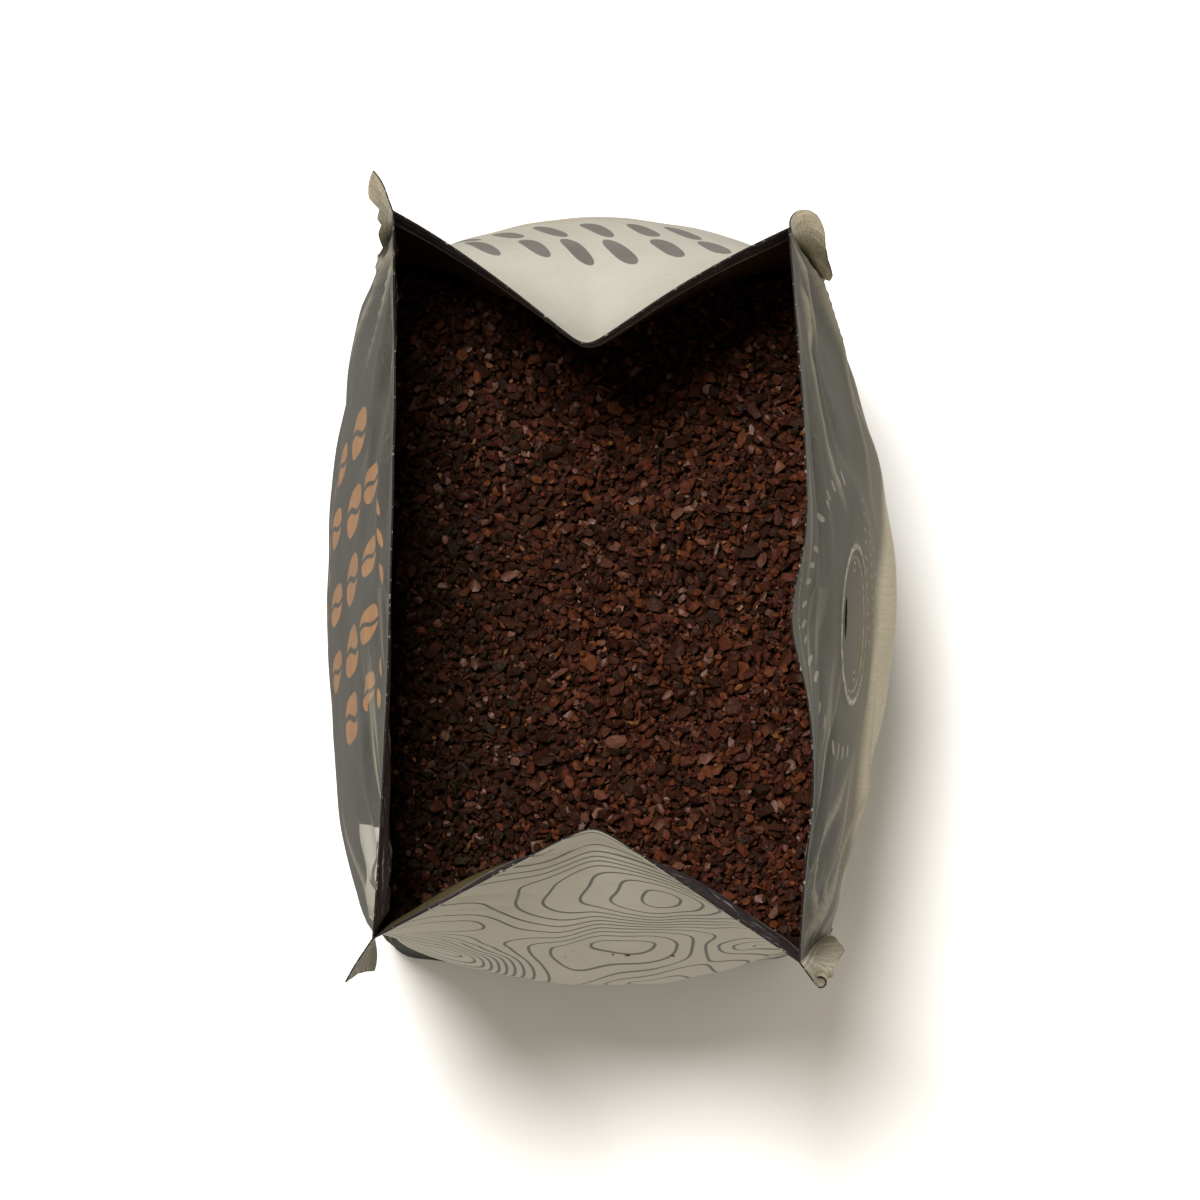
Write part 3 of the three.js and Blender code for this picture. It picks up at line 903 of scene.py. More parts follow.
    def left_panel(self) -> bpy.types.Material:
        """Dark panel with copper beans and dashes, and a pale patch at one end."""
        material, g, shader = new_material("film_left_panel")
        vector, u, v = self.place(g)
        colour = g.cloudy(vector, 0.03, 0.4, srgb(46, 45, 37), srgb(36, 40, 36))
        beans: Value = 0.0
        for row, depth in enumerate((27.0, 46.0, 66.0)):
            half = (2.3, 3.3, 2.6)[row]
            along, window = g.total(u, 3.0 * row), ((-17.0, 22.0), (-21.0, 30.0), (-14.0, 29.0))[row]
            shapes = self.leaves(g, along, g.less(v, depth), 30.0 + row, (9.4, half, 8.6), 0.16, 1.0, window)
            beans = g.largest(beans, shapes)
        for row, (depth, half) in enumerate(((17.0, 1.6), (82.0, 2.0))):
            across, window = g.less(v, depth), (-15.0, 17.0)
            dashes = self.leaves(g, u, across, 50.0 + row, (4.2, 1.1, half), -0.5, 0.0, window)
            beans = g.largest(beans, dashes)
        faded = g.remap(g.noise(vector, 0.16, 2.0), 0.4, 0.6, 0.0, 0.5)
        shade = g.mix(faded, self.copper, srgb(148, 102, 60))
        colour = g.paint(colour, beans, 0.88, shade)
        away = g.away_from(u, v, (2.0, 97.0))
        rings = [g.inside(away, size - 0.8, size, 0.12) for size in (6.5, 3.4)]
        colour = self.pale_patch(g, u, v, g.mix(g.largest(*rings), colour, shade))
        self.finish(g, shader, colour, vector, v)
        return material

    def pale_patch(self, g: Graph, u: Socket, v: Socket, colour: Socket) -> Socket:
        """Adds the pale patch at one end of the left panel, with an oval, a stroke and bars."""
        patch = g.product(g.inside(u, -43.6, -31.2, 0.08), g.invert(g.step(v, 42.0, 0.15)))
        colour = g.paint(colour, patch, 0.93, self.cream)
        away = g.length(g.less(u, -36.2), g.product(g.less(v, 17.0), 0.42))
        dark = g.inside(away, 2.6, 3.3, 0.1)
        slanted = g.less(u, g.product(v, 0.12))
        stroke = g.product(g.inside(slanted, -41.6, -41.0, 0.06), g.inside(v, 8.0, 30.0, 0.4))
        bars = self.leaves(g, v, g.total(u, 42.6), 71.0, (3.4, 1.0, 0.9), 0.0, 0.0)
        mark = g.largest(dark, stroke, g.product(bars, g.inside(v, 20.0, 40.0, 0.2)))
        return g.mix(g.product(mark, patch, 0.9), colour, self.grey_ink)

    def back_gusset(self) -> bpy.types.Material:
        """Cream gusset with a band of grey leaves and a thin gold line."""
        material, g, shader = new_material("film_back_gusset")
        vector, u, v = self.place(g)
        colour = g.cloudy(vector, 0.04, 0.2, self.cream, srgb(172, 168, 154))
        band: Value = 0.0
        for row, depth in enumerate((88.0, 101.0)):
            along, window = g.total(u, 3.6 * row), (-20.0 + 3.6 * row, 18.0 + 3.6 * row)
            shapes = self.leaves(g, along, g.less(v, depth), 81.0 + row, (6.4, 1.5, 6.8), 0.32, 0.0, window)
            band = g.largest(band, shapes)
        colour = g.paint(colour, band, 0.85, self.grey_ink)
        line = g.product(g.inside(v, 111.5, 113.0, 0.2), g.inside(u, -17.0, 17.0, 0.4))
        colour = g.paint(colour, line, 0.7, srgb(176, 158, 112))
        self.finish(g, shader, colour, vector, v)
        return material

    def front_gusset(self) -> bpy.types.Material:
        """Cream gusset covered with thin grey contour lines."""
        material, g, shader = new_material("film_front_gusset")
        vector, u, v = self.place(g)
        # This cream is lighter than the back gusset's: painted light that lifts this gusset, which faces away
        # from the lamp.
        colour = g.cloudy(vector, 0.04, 0.2, srgb(192, 188, 175), srgb(180, 175, 159))
        low = g.largest(g.less(v, 52.0), 0.0)
        drawn = g.vector(u, g.less(v, g.product(low, 0.62)))
        lines = g.group(self.effects.contours, Place=drawn, Levels=21.0, Width=0.22).outputs["Line"]
        colour = g.paint(colour, lines, 0.9, srgb(66, 61, 51))
        foot_from = g.remap(u, -6.0, 26.0, FOOT_DEPTH, LOW_FOOT_DEPTH)
        self.finish(g, shader, colour, vector, v, foot_from=foot_from)
        return material

    def base(self) -> bpy.types.Material:
        """Dark film under the bag."""
        material, g, shader = new_material("film_base")
        place = g.on_object()
        smear = g.noise(place, 90.0, 4.0, 0.6)
        g.feed_all(
            shader, Base_Color=g.mix(smear, self.foot, srgb(40, 41, 36)),
            Roughness=g.remap(smear, 0.3, 0.7, 0.34, 0.5),
            Normal=g.bump(g.noise(place, 260.0, 3.0), 0.4, 0.3),
        )
        return material

    def inside_face(self) -> bpy.types.Material:
        """Glossy near-black inner film with a scuffed peel band at the mouth."""
        material, g, shader = new_material("film_inside")
        vector, u, v = self.place(g)
        wear = g.group(self.effects.wear, Place=vector)
        fine = g.streaks(u, v, (0.5, 3.4), 3.0, 0.7)
        dusty = g.step(g.noise(vector, 1.1, 4.0, 0.7), 0.6, 0.12)
        # Lighter olive inner film towards the front gusset's left leg, brown elsewhere.
        leftward = g.attribute("olive_leg")
        clean = g.mix(leftward, srgb(48, 36, 23), srgb(92, 84, 56))
        film = g.paint(clean, dusty, 0.35, srgb(76, 48, 30))
        band_colour = g.mix(g.remap(fine, 0.35, 0.7, 0.0, 0.7), srgb(44, 38, 40), srgb(78, 70, 71))
        scuffed = g.mix(g.product(wear.outputs["Scratches"], 0.34), band_colour, srgb(140, 130, 128))
        wavy = g.total(v, g.remap(g.noise(g.vector(g.product(u, 0.16), 3.3), 1.0), 0.3, 0.7, -1.6, 1.6))
        thread = g.streaks(u, wavy, (0.12, 0.85), 2.0, 0.7, 5.1)
        broken = g.step(g.noise(vector, 0.8, 4.0, 0.7), 0.47, 0.08)
        glints = g.product(g.step(thread, 0.62, 0.02), broken)
        scuffed = g.paint(scuffed, glints, 0.8, srgb(172, 170, 170))
        limit = g.less(10.0, g.product(leftward, 6.3))
        band = g.invert(g.step(v, limit, 0.5))
        ridge = g.product(g.inside(g.less(v, limit), -0.6, -0.1, 0.15), g.remap(leftward, 0.0, 1.0, 1.0, 0.3))
        height = g.total(g.product(wear.outputs["Crinkle"], 0.8), g.product(fine, 0.1))
        g.feed_all(
            shader, Base_Color=g.mix(ridge, g.mix(band, film, scuffed), srgb(146, 138, 132)),
            Roughness=g.remap(band, 0, 1, 0.3, 0.46), Specular_IOR_Level=0.42,
            Normal=g.bump(height, 0.6, 0.6),
        )
        return material

    def cut_edge(self) -> bpy.types.Material:
        """Cut edge of the film at the rim, with painted glints as white specks."""
        material, g, shader = new_material("film_edge")
        place = g.on_object()
        glint_noise = g.noise(place, 1500.0, 3.0, 0.6)
        # The white specks are painted glints, where the cut edge catches the light.
        worn = g.step(glint_noise, 0.62, 0.05)
        g.feed_all(
            shader, Base_Color=g.mix(worn, srgb(24, 21, 20), srgb(112, 108, 100)),
            Roughness=g.remap(glint_noise, 0.3, 0.7, 0.7, 0.9), Specular_IOR_Level=0.1,
        )
        return material

    def seal(self) -> bpy.types.Material:
        """Fin seals: pale metallic film with fine rubbed lines, painted lighter for a fin in light and darker
        for one in shade by its tone, with painted highlights on the crease at the root.
        """
        material, g, shader = new_material("film_seal")
        vector, u, v = self.place(g)
        wear = g.group(self.effects.wear, Place=vector)
        rub = g.streaks(u, v, (0.35, 1.5), 4.0, 0.65)
        cross = g.streaks(u, v, (2.4, 0.5), 3.0, 0.6)
        # tone is painted light and shade: 1 gives the colours of a fin in full light, 0 those of a fin in
        # shade.
        tone = g.attribute("tone")
        light = g.mix(tone, srgb(138, 131, 111), srgb(206, 194, 166))
        dark = g.mix(tone, srgb(98, 93, 78), srgb(160, 149, 124))
        base = g.mix(g.remap(rub, 0.36, 0.64, 0.0, 1.0), light, dark)
        marked = g.mix(g.product(g.step(cross, 0.62, 0.07), 0.5), base, light)
        hatched = g.noise(g.vector(g.total(g.product(u, 3.2), v), g.product(v, 0.35)), 1.0, 2.0, 0.6)
        scratched = g.mix(g.product(g.step(hatched, 0.6, 0.04), 0.5), marked, srgb(92, 86, 70))
        scored = g.mix(g.product(wear.outputs["Scratches"], 0.75), scratched, srgb(214, 206, 184))
        # Two bright lines near the root are a painted highlight on the seal's crease.
        ridges = g.largest(g.inside(u, 0.75, 1.0, 0.12), g.product(g.inside(u, 1.45, 1.6, 0.1), 0.7))
        ridges = g.product(ridges, g.remap(cross, 0.4, 0.55, 0.3, 1.0))
        g.feed_all(
            shader, Base_Color=g.mix(ridges, scored, srgb(206, 198, 180)),
            Metallic=g.remap(rub, 0.3, 0.7, 0.0, 0.25),
            Roughness=g.remap(cross, 0.3, 0.7, 0.34, 0.52),
            Normal=g.bump(g.total(rub, cross), 0.6, 0.22),
        )
        return material


@dataclass(frozen=True)
class GrainFinish:
    """Broken roasted coffee, with a tint stored on each grain."""

    effects: Effects

    def material(self) -> bpy.types.Material:
        """The finish of the loose grounds."""
        material, g, shader = new_material("coffee_grounds")
        place = g.on_object()
        tint = g.attribute("tint")
        skin = g.group(self.effects.grain_skin, Place=place, Tint=tint)
        shiny = g.step(g.math("FRACT", g.product(tint, 61.0)), 0.92, 0.02)
        # Shiny chips are painted a paler pinkish brown: partly a lighter chip colour, partly a painted sheen.
        paler_with_sheen = g.mix(0.4, skin.outputs["Color"], srgb(112, 74, 56))
        g.feed_all(
            shader, Base_Color=g.mix(shiny, skin.outputs["Color"], paler_with_sheen),
            Roughness=g.less(skin.outputs["Gloss"], g.product(shiny, 0.12)),
            Specular_IOR_Level=g.remap(shiny, 0.0, 1.0, 0.07, 0.26),
            Normal=g.bump(skin.outputs["Height"], 0.8, 0.2),
        )
        return material

    def core(self) -> bpy.types.Material:
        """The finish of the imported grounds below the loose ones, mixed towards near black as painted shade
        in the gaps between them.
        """
        material, g, shader = new_material("coffee_core")
        place = g.on_object()
        cells = g.add_node("TexVoronoi", {"Vector": place, "Scale": 800.0})
        tint = g.remap(g.parts(cells.outputs["Color"])[0], 0.0, 1.0, 0.05, 0.8)
        skin = g.group(self.effects.grain_skin, Place=place, Tint=tint)
        lumps = g.invert(cells.outputs["Distance"])
        # Mixing in near black paints shade into the gaps between the loose grounds.
        g.feed_all(
            shader, Base_Color=g.mix(0.4, skin.outputs["Color"], srgb(12, 6, 4)), Roughness=0.9,
            Specular_IOR_Level=0.03, Normal=g.bump(g.total(lumps, skin.outputs["Height"]), 0.8, 0.5),
        )
        return material


@dataclass(frozen=True)
class ValveFinish:
    """Milky moulded plastic with faint flow marks."""

    colour: tuple = srgb(188, 186, 178)

    def material(self) -> bpy.types.Material:
        """The finish of the valve."""
        material, g, shader = new_material("valve_plastic")
        place = g.on_object()
        flow = g.noise(place, 120.0, 3.0, 0.55, 1.5)
        base = g.mix(g.remap(flow, 0.35, 0.65, 0, 1), self.colour, srgb(166, 163, 154))
        g.feed_all(
            shader, Base_Color=base, Roughness=g.remap(flow, 0.3, 0.7, 0.36, 0.5),
            Subsurface_Weight=0.1, Normal=g.bump(g.noise(place, 900.0, 2.0), 0.25, 0.1),
        )
        return material


@dataclass(frozen=True)
class Pleat:
    """A crease of the film: places of its crest as width and depth, and its height."""

    crest: tuple[tuple[float, float], ...]
    height: float = 0.7
    spread: float = 2.6

    def distance(self, u: Array, v: Array) -> tuple[Array, Array]:
        """Distance from the crest, and how far along it the nearest place is, from 0 to 1."""
        points = np.array(self.crest, float)
        for _ in range(3):
            near = points[:-1] * 0.75 + points[1:] * 0.25
            far = points[:-1] * 0.25 + points[1:] * 0.75
            cut = np.stack([near, far], 1).reshape(-1, 2)
            points = np.concatenate([points[:1], cut, points[-1:]])
        lengths = np.linalg.norm(np.diff(points, axis=0), axis=1)
        starts = np.concatenate([[0], np.cumsum(lengths)])
        best = np.full(u.shape, FAR)
        share = np.zeros(u.shape)
        for a, b, start, length in zip(points[:-1], points[1:], starts, lengths):
            away, t = from_segment(u, v, a, b)
            nearer = away < best
            best = np.where(nearer, away, best)
            share = np.where(nearer, (start + t * length) / starts[-1], share)
        return best, share

    def strength(self, share: Array) -> Array:
        """How strong the crease is along its crest, fading at both ends."""
        return smoothstep(share, 0.0, 0.12) * (1 - smoothstep(share, 0.7, 1.0))


RIGHT_PLEATS = (
    Pleat(((47.0, 1.0), (46.2, 25.4), (44.2, 39.9), (41.0, 60.0), (36.0, 84.0)), 0.9, 3.0),
    Pleat((
        (46.5, 1.0), (44.5, 16.0), (40.0, 38.0), (33.0, 52.0), (24.0, 57.0), (11.4, 60.2), (5.4, 68.1),
    ), 1.0, 3.2),
    Pleat((
        (40.0, 4.0), (33.4, 10.9), (28.7, 11.0), (23.8, 15.3), (18.5, 22.0), (12.4, 29.5), (8.7, 35.1),
    ), 1.0, 3.0),
    Pleat(((46.0, 6.0), (42.0, 26.0), (37.5, 41.6), (29.3, 60.0), (21.8, 73.1), (12.0, 85.0)), 0.8, 3.2),
    Pleat(((45.0, 3.0), (40.0, 10.0), (36.0, 22.0), (31.0, 30.0)), 0.7, 2.4),
    Pleat((
        (-47.8, 6.8), (-42.2, 14.6), (-34.7, 16.4), (-31.2, 23.6), (-27.8, 39.0), (-23.7, 47.1),
        (-20.0, 51.1),
    ), 1.0, 3.0),
    Pleat(((-48.4, 20.2), (-43.1, 30.4), (-37.1, 34.7), (-30.0, 46.0), (-20.0, 60.0)), 0.8, 3.0),
    Pleat((
        (-48.6, 30.2), (-43.2, 60.3), (-32.3, 76.3), (-22.3, 68.5), (-13.9, 65.8), (-3.0, 67.3),
    ), 1.0, 3.4),
    Pleat(((-46.0, 12.0), (-36.0, 60.0), (-24.0, 78.0), (-10.7, 90.3)), 0.7, 3.4),
)
LEFT_PLEATS = (
    Pleat(((43.5, 3.0), (40.0, 14.0), (34.9, 32.0), (30.0, 46.0)), 0.6, 2.4),
    Pleat(((44.5, 6.0), (42.0, 30.0), (36.0, 60.0), (30.0, 80.0)), 0.6, 3.0),
    Pleat(((-44.5, 8.0), (-42.0, 34.0), (-36.0, 62.0), (-26.0, 84.0)), 0.6, 3.2),
    Pleat(((40.0, 2.0), (33.0, 6.0), (24.0, 12.0)), 0.4, 2.0),
)


@dataclass
class Film:
    """The printed film of the bag, one surface from the middle of its base to its rim."""

    form: BagForm
    finish: FilmFinish
    seed: int = 41
    columns: dict[Side, Array] = field(default_factory=dict)
    depths: Array = field(default_factory=lambda: np.zeros(0))

    def plan_grid(self) -> None:
        """Chooses the columns along each side and the rows down the film."""
        valve_panel = spaced((0, 0.385, 34), (0.385, 0.695, 48), (0.695, 1, 28))
        gusset = spaced((0, 0.46, 22), (0.46, 0.54, 8), (0.54, 1, 22))
        plain_panel = spaced((0, 1, 74))
        self.columns = dict(zip(Side, (valve_panel, gusset, plain_panel, gusset)))
        self.depths = stepped((0, 12, 0.6), (12, 28, 1.1), (28, 54, 0.62), (54, 96, 1.4), (96, 164, 2.4))

    def fan_waves(self, depth: Array, y: Array) -> Array:
        """Waves that fan out from both upper corners of a panel."""
        away = PANEL_HALF - np.abs(y)
        deep = depth + FANS_ABOVE
        reach = np.hypot(away, deep)
        turn = np.arctan2(deep, away)
        fan = np.sin(turn * 23 + np.sign(y) * 1.3) + 0.7 * np.sin(turn * 37 + 0.5 + np.sign(y))
        return 0.42 * fan * smoothstep(depth, 2, 16) * (1 - smoothstep(reach, 34, 64))

    def rim_lean(self, side: Side, s: Array) -> Array:
        """How far a side leans inwards just below the rim."""
        if side is Side.RIGHT:
            return 0.1 + 0.4 * s
        if side is Side.FRONT:
            return 3.4 * bell(s, 0.26, 0.2) + 3.7 * bell(s, 0.76, 0.19)
        if side is Side.LEFT:
            return 1.0 + 1.5 * bell(s, 0, 0.3)
        return np.full(s.shape, 0.3)

    def details(self, side: Side, s: Array, depth: Array, y: Array) -> tuple[Array, Array]:
        """Small relief of the film.

        Args:
            side: The side of the bag.
            s: Place along the side.
            depth: Depth below the rim, in millimetres.
            y: Plan position along the panels, in millimetres.

        Returns:
            How far the film moves outwards, and how strong its creases are.
        """
        arc = (s - 0.5) * 90
        waves = ripples(arc, depth, 34, self.seed + side.value) * 0.28
        waves += ripples(arc, depth * 0.4, 13, self.seed + 10 + side.value) * 0.12
        waves *= 0.15 + 0.85 * smoothstep(depth, 4, 34)
        if side in (Side.RIGHT, Side.LEFT):
            waves += self.fan_waves(depth, y)
        fade = np.minimum(smoothstep(s, 0, 0.05), 1 - smoothstep(s, 0.95, 1))
        out = waves * fade * smoothstep(BAG_HEIGHT - depth, 0, 24)
        out -= 0.16 * bell(depth, 10.2, 0.55)
        creases = np.zeros_like(out)
        pleats = {Side.RIGHT: RIGHT_PLEATS, Side.LEFT: LEFT_PLEATS}.get(side, ())
        for pleat in pleats:
            away, share = pleat.distance(y, depth)
            strength = pleat.strength(share)
            out += pleat.height * strength * np.exp(-away / pleat.spread) * fade
            creases = np.maximum(creases, strength * bell(away, 0, 0.9))
        if side is Side.RIGHT:
            swell = bell(s, 0.76, 0.12) - 2.3 * bell(s, 0.53, 0.085)
            out += swell * np.exp(-depth / 14)
        out -= self.rim_lean(side, s) * fade * smoothstep(depth, 0.6, 9) * np.exp(-depth / 28)
        return out, creases

    def side_rows(self, side: Side) -> tuple[Array, Array]:
        """Points and crease strengths of one side, rim first."""
        s, depth = np.meshgrid(self.columns[side], self.depths)
        plain = self.form.plan(side, s, depth)
        out, creases = self.details(side, s, depth, plain[..., 1])
        plan = self.form.plan(side, s, depth, out)
        if side is Side.RIGHT:
            plan[..., 0] = self.flatten_at_valve(plan, depth)
        points = np.stack([plan[..., 0] + MOUTH[0], plan[..., 1] + MOUTH[1], BAG_HEIGHT - depth], -1)
        return points, creases

    def flatten_at_valve(self, plan: Array, depth: Array) -> Array:
        """The right panel's x once the valve has flattened it and pressed its ring into it."""
        dy = plan[..., 1] - self.form.valve_y
        dz = BAG_HEIGHT - depth - self.form.valve_height
        reach = np.hypot(dy, dz)
        share = 1 - smoothstep(reach, self.form.flat_full, self.form.flat_fade)
        x, turn, rise = self.form.valve_plane()
        plane = x + turn * dy + rise * dz
        ring = bell(reach, 10.3, 0.75) * 0.3
        dome = 0.06 * np.clip(1 - (reach / 9.4) ** 2, 0, 1)
        return plan[..., 0] * (1 - share) + (plane + ring - dome) * share

    def build(self) -> bpy.types.Object:
        """Models the film and gives it its thickness.

        Returns:
            The finished piece.
        """
        self.plan_grid()
        sides = [self.side_rows(side) for side in Side]
        points, creases = (np.concatenate(rows, 1) for rows in zip(*sides))
        foot, inner = self.foot_rings()
        points = closed(np.concatenate([points, foot, inner]))
        smooth_rows = np.zeros((len(points) - len(creases), creases.shape[1]))
        creases = closed(np.concatenate([creases, smooth_rows]))
        rows, columns = points.shape[0] - 1, points.shape[1] - 1
        piece = new_grid("film_bag", columns, rows)
        place_vertices(piece, points.reshape(-1, 3))
        # Crease strength: where the print gets painted highlights along the pleat crests.
        set_points(piece, "crease", creases.ravel())
        # Share of the front gusset towards its left leg, where the inner film is olive.
        olive_leg = [smoothstep(self.columns[side], 0.45, 0.85) * (side is Side.FRONT) for side in Side]
        row = np.concatenate([*olive_leg, olive_leg[0][:1]])
        set_points(piece, "olive_leg", np.tile(row, len(points)))
        self.lay_print(piece, points, rows, columns)
        faces_to_print = len(Side) + 1
        add_slots(piece, 3 * faces_to_print)
        close_mesh(piece)
        apply_solidify(piece, FILM, faces_to_print, 2 * faces_to_print)
        smooth_by_angle(piece, 48)
        return piece

    def foot_rings(self) -> tuple[Array, Array]:
        """Rings round the edge of the base, then over it to its middle."""
        centre = MOUTH + np.array([0.0, BASE_MIDDLE_Y])
        edge = []
        sizes = [self.side_plan_at(BAG_HEIGHT - z) for z, _ in reversed(self.form.base_edge)]
        for (z, inset), ring in zip(reversed(self.form.base_edge), sizes):
            flat = ring + unit(centre - ring) * inset
            edge.append(np.column_stack([flat, np.full(len(flat), z)]))
        floor = edge[-1]
        shares = (0.9, 0.75, 0.55, 0.35, 0.15, 0.0)
        middle = np.array([centre[0], centre[1], 0.0])
        inner = [middle + (floor - middle) * share for share in shares]
        return np.array(edge), np.array(inner)

    def side_plan_at(self, depth: float) -> Array:
        """World plan of the film's whole outline at one depth, by the film's own columns."""
        def one_side(side: Side) -> Array:
            """Plan of one side at that depth."""
            columns = self.columns[side]
            return self.form.plan(side, columns, np.full(len(columns), depth))

        return np.concatenate([one_side(side) for side in Side]) + MOUTH

    def lay_print(self, piece: bpy.types.Object, points: Array, rows: int, columns: int) -> None:
        """Gives each face its side's material and its place on the print.

        Args:
            piece: The film, still a grid.
            points: Its points, by row and column, in millimetres.
            rows: Number of rows of faces.
            columns: Number of columns of faces.
        """
        counts = [len(self.columns[side]) for side in Side]
        starts = np.concatenate([[0], np.cumsum(counts)])
        u = np.zeros((points.shape[0], columns, 2))
        side_of = np.zeros(columns, int)
        for side in Side:
            low, high = starts[side.value], starts[side.value + 1]
            block = points[:, low:high + 1]
            if side in (Side.RIGHT, Side.LEFT):
                place = block[..., 1] - MOUTH[1]
            else:
                step = np.linalg.norm(np.diff(block[..., :2], axis=1), axis=2)
                arc = np.concatenate([np.zeros((len(block), 1)), np.cumsum(step, 1)], 1)
                place = (arc - arc[:, -1:] / 2) * (1 if side is Side.BACK else -1)
            u[:, low:high, 0] = place[:, :-1]
            u[:, low:high, 1] = place[:, 1:]
            side_of[low:high] = side.value
        lay_uv(piece, u, BAG_HEIGHT - points[:, 0, 2])
        base_start = len(self.depths) + len(self.form.base_edge) - 1
        index = np.tile(side_of, (rows, 1))
        index[base_start:] = len(Side)
        piece.data.polygons.foreach_set("material_index", index.ravel())

    def dress(self, piece: bpy.types.Object, rim: bpy.types.Material) -> None:
        """Gives the film its printed sides, its inner face and its cut edge."""
        outer = [self.finish.right_panel(), self.finish.front_gusset(), self.finish.left_panel()]
        outer += [self.finish.back_gusset(), self.finish.base()]
        inner = [self.finish.inside_face()] * len(outer)
        edge = [rim] * len(outer)
        for index, material in enumerate(outer + inner + edge):
            piece.data.materials[index] = material
        declare(piece, "bag")


@dataclass(frozen=True)
class FinShape:
    """One fin seal: depth, direction in degrees, width and curl of its outer part."""

    name: str
    corner: int
    stations: tuple[tuple[float, float, float, float], ...]
    curl_start: float = 0.5
    droop: float = 0.2
    # tone paints in light and shade: 1 for a fin in full light, 0 for one in shade.
    tone: float = 0.5


FIN_SHAPES = (
    FinShape("fin_back_left", 3, (
        (0, 107, 5.7, 26), (2, 120, 5.0, 12), (4, 131, 4.4, 0), (5.5, 139, 3.8, 0), (9, 141, 2.1, 0),
        (12, 168, 2.0, 0), (15, 180, 1.4, 0), (19, 200, 1.9, 0), (24, 226, 1.9, 0), (34, 200, 1.0, 0),
        (60, 130, 1.0, 0), (100, 130, 1.2, 0), (150, 130, 1.2, 0),
    ), droop=0.25, tone=0.55),
    FinShape("fin_back_right", 0, (
        (0, 108, 5.8, -150), (1.5, 92, 5.6, -138), (3, 76, 5.4, -124), (6, 50, 5.0, -98), (10, 24, 4.8, -70),
        (15, 2, 5.2, -50), (20, -18, 6.4, -34), (22, -28, 6.3, -26), (25, -40, 5.0, -14), (30, -52, 3.8, 0),
        (38, -58, 2.6, 0), (50, -50, 1.2, 0), (75, 10, 1.0, 0), (100, 40, 1.0, 0), (150, 50, 1.0, 0),
    ), 0.06, 1.9, 1.0),
    FinShape("fin_front_right", 1, (
        (0, -54, 7.4, 300), (1.5, -48, 6.6, 240), (3, -42, 4.9, 60), (5, -33, 4.3, 0), (8, -23, 4.1, 0),
        (12, -8, 4.4, 0), (16, 5, 5.0, 0), (20, 13, 4.2, 0), (25, 18, 3.4, 0), (32, 17, 2.9, 0),
        (42, 10, 1.9, 0), (56, -5, 0.5, 0), (70, -30, 0.15, 0), (110, -45, 0.2, 0), (150, -45, 0.5, 0),
    ), 0.54, 0.45, 0.14),
    FinShape("fin_front_left", 2, (
        (0, 236, 6.6, 6), (2, 239, 6.2, 0), (5, 246, 4.9, 0), (9, 258, 4.4, 0), (14, 272, 4.3, 0),
        (20, 279, 2.8, 0), (26, 285, 1.4, 0), (34, 270, 0.4, 0), (60, 225, 0.15, 0), (100, 225, 0.2, 0),
        (150, 225, 0.5, 0),
    ), droop=0.1, tone=0.0),
)


@dataclass(frozen=True)
class Fin:
    """A fin seal along one corner of the bag."""

    form: BagForm
    shape: FinShape
    across: int = 20
    thickness: float = 0.2
    root: float = 0.5

    def strip(self, depths: Array, share: Array) -> tuple[Array, Array]:
        """Bends the strip.

        Args:
            depths: Depths of its rows below the rim, in millimetres.
            share: Shares of its width at which its columns lie.

        Returns:
            Its points by row and column, and their distances from its root, in millimetres.
        """
        table = np.array(self.shape.stations, float)
        angle, width, curl = (np.interp(depths, table[:, 0], table[:, k]) for k in (1, 2, 3))
        seed = 60 + self.shape.corner
        width = width * (1 + 0.02 * ripples(depths, depths * 0, 22, seed, 3))
        width = width * smoothstep(BAG_HEIGHT - depths, 3, 46)
        bend = np.clip((share - self.shape.curl_start) / (1 - self.shape.curl_start), 0, 1)
        heading = np.radians(angle[:, None] + curl[:, None] * bend[None, :])
        step = (width[:, None] + self.root) / self.across
        start = self.form.plan(Side(self.shape.corner), np.zeros(len(depths)), depths)
        first = np.radians(angle)
        start = start - self.root * np.stack([np.cos(first), np.sin(first)], -1)
        x = start[:, :1] + np.cumsum(np.cos(heading) * step, 1) - np.cos(heading[:, :1]) * step
        y = start[:, 1:] + np.cumsum(np.sin(heading) * step, 1) - np.sin(heading[:, :1]) * step
        wave = 0.2 * ripples(depths[:, None] + 0 * share, share * 6 + 0 * x, 26, seed + 9, 4) * share
        x = x - np.sin(heading) * wave + MOUTH[0]
        y = y + np.cos(heading) * wave + MOUTH[1]
        z = (BAG_HEIGHT - depths)[:, None] - self.shape.droop * width[:, None] * share[None, :] ** 1.4
        return np.stack([x, y, z], -1), share[None, :] * (width[:, None] + self.root)

    def build(self) -> bpy.types.Object:
        """Models the fin as a thin bent strip.

        Returns:
            The finished piece.
        """
        depths = stepped((0, 12, 0.5), (12, 40, 1.0), (40, 161.1, 2.2))
        points, u = self.strip(depths, np.linspace(0, 1, self.across + 1))
        piece = new_grid(self.shape.name, self.across, len(depths) - 1)
        place_vertices(piece, points.reshape(-1, 3))
        lay_uv(piece, np.stack([u[:, :-1], u[:, 1:]], -1), depths)
        # Each fin's tone, its painted light and shade, goes to the seal material.
        set_points(piece, "tone", np.full(len(piece.data.vertices), self.shape.tone))
        add_slots(piece, 2)
        apply_solidify(piece, self.thickness, edge_slots=1, offset=0.0)
        smooth_by_angle(piece, 60)
        return piece

    def dress(self, piece: bpy.types.Object, seal: bpy.types.Material, edge: bpy.types.Material) -> None:
        """Gives the fin its finish."""
        piece.data.materials[0] = seal
        piece.data.materials[1] = edge
        declare(piece, "bag")


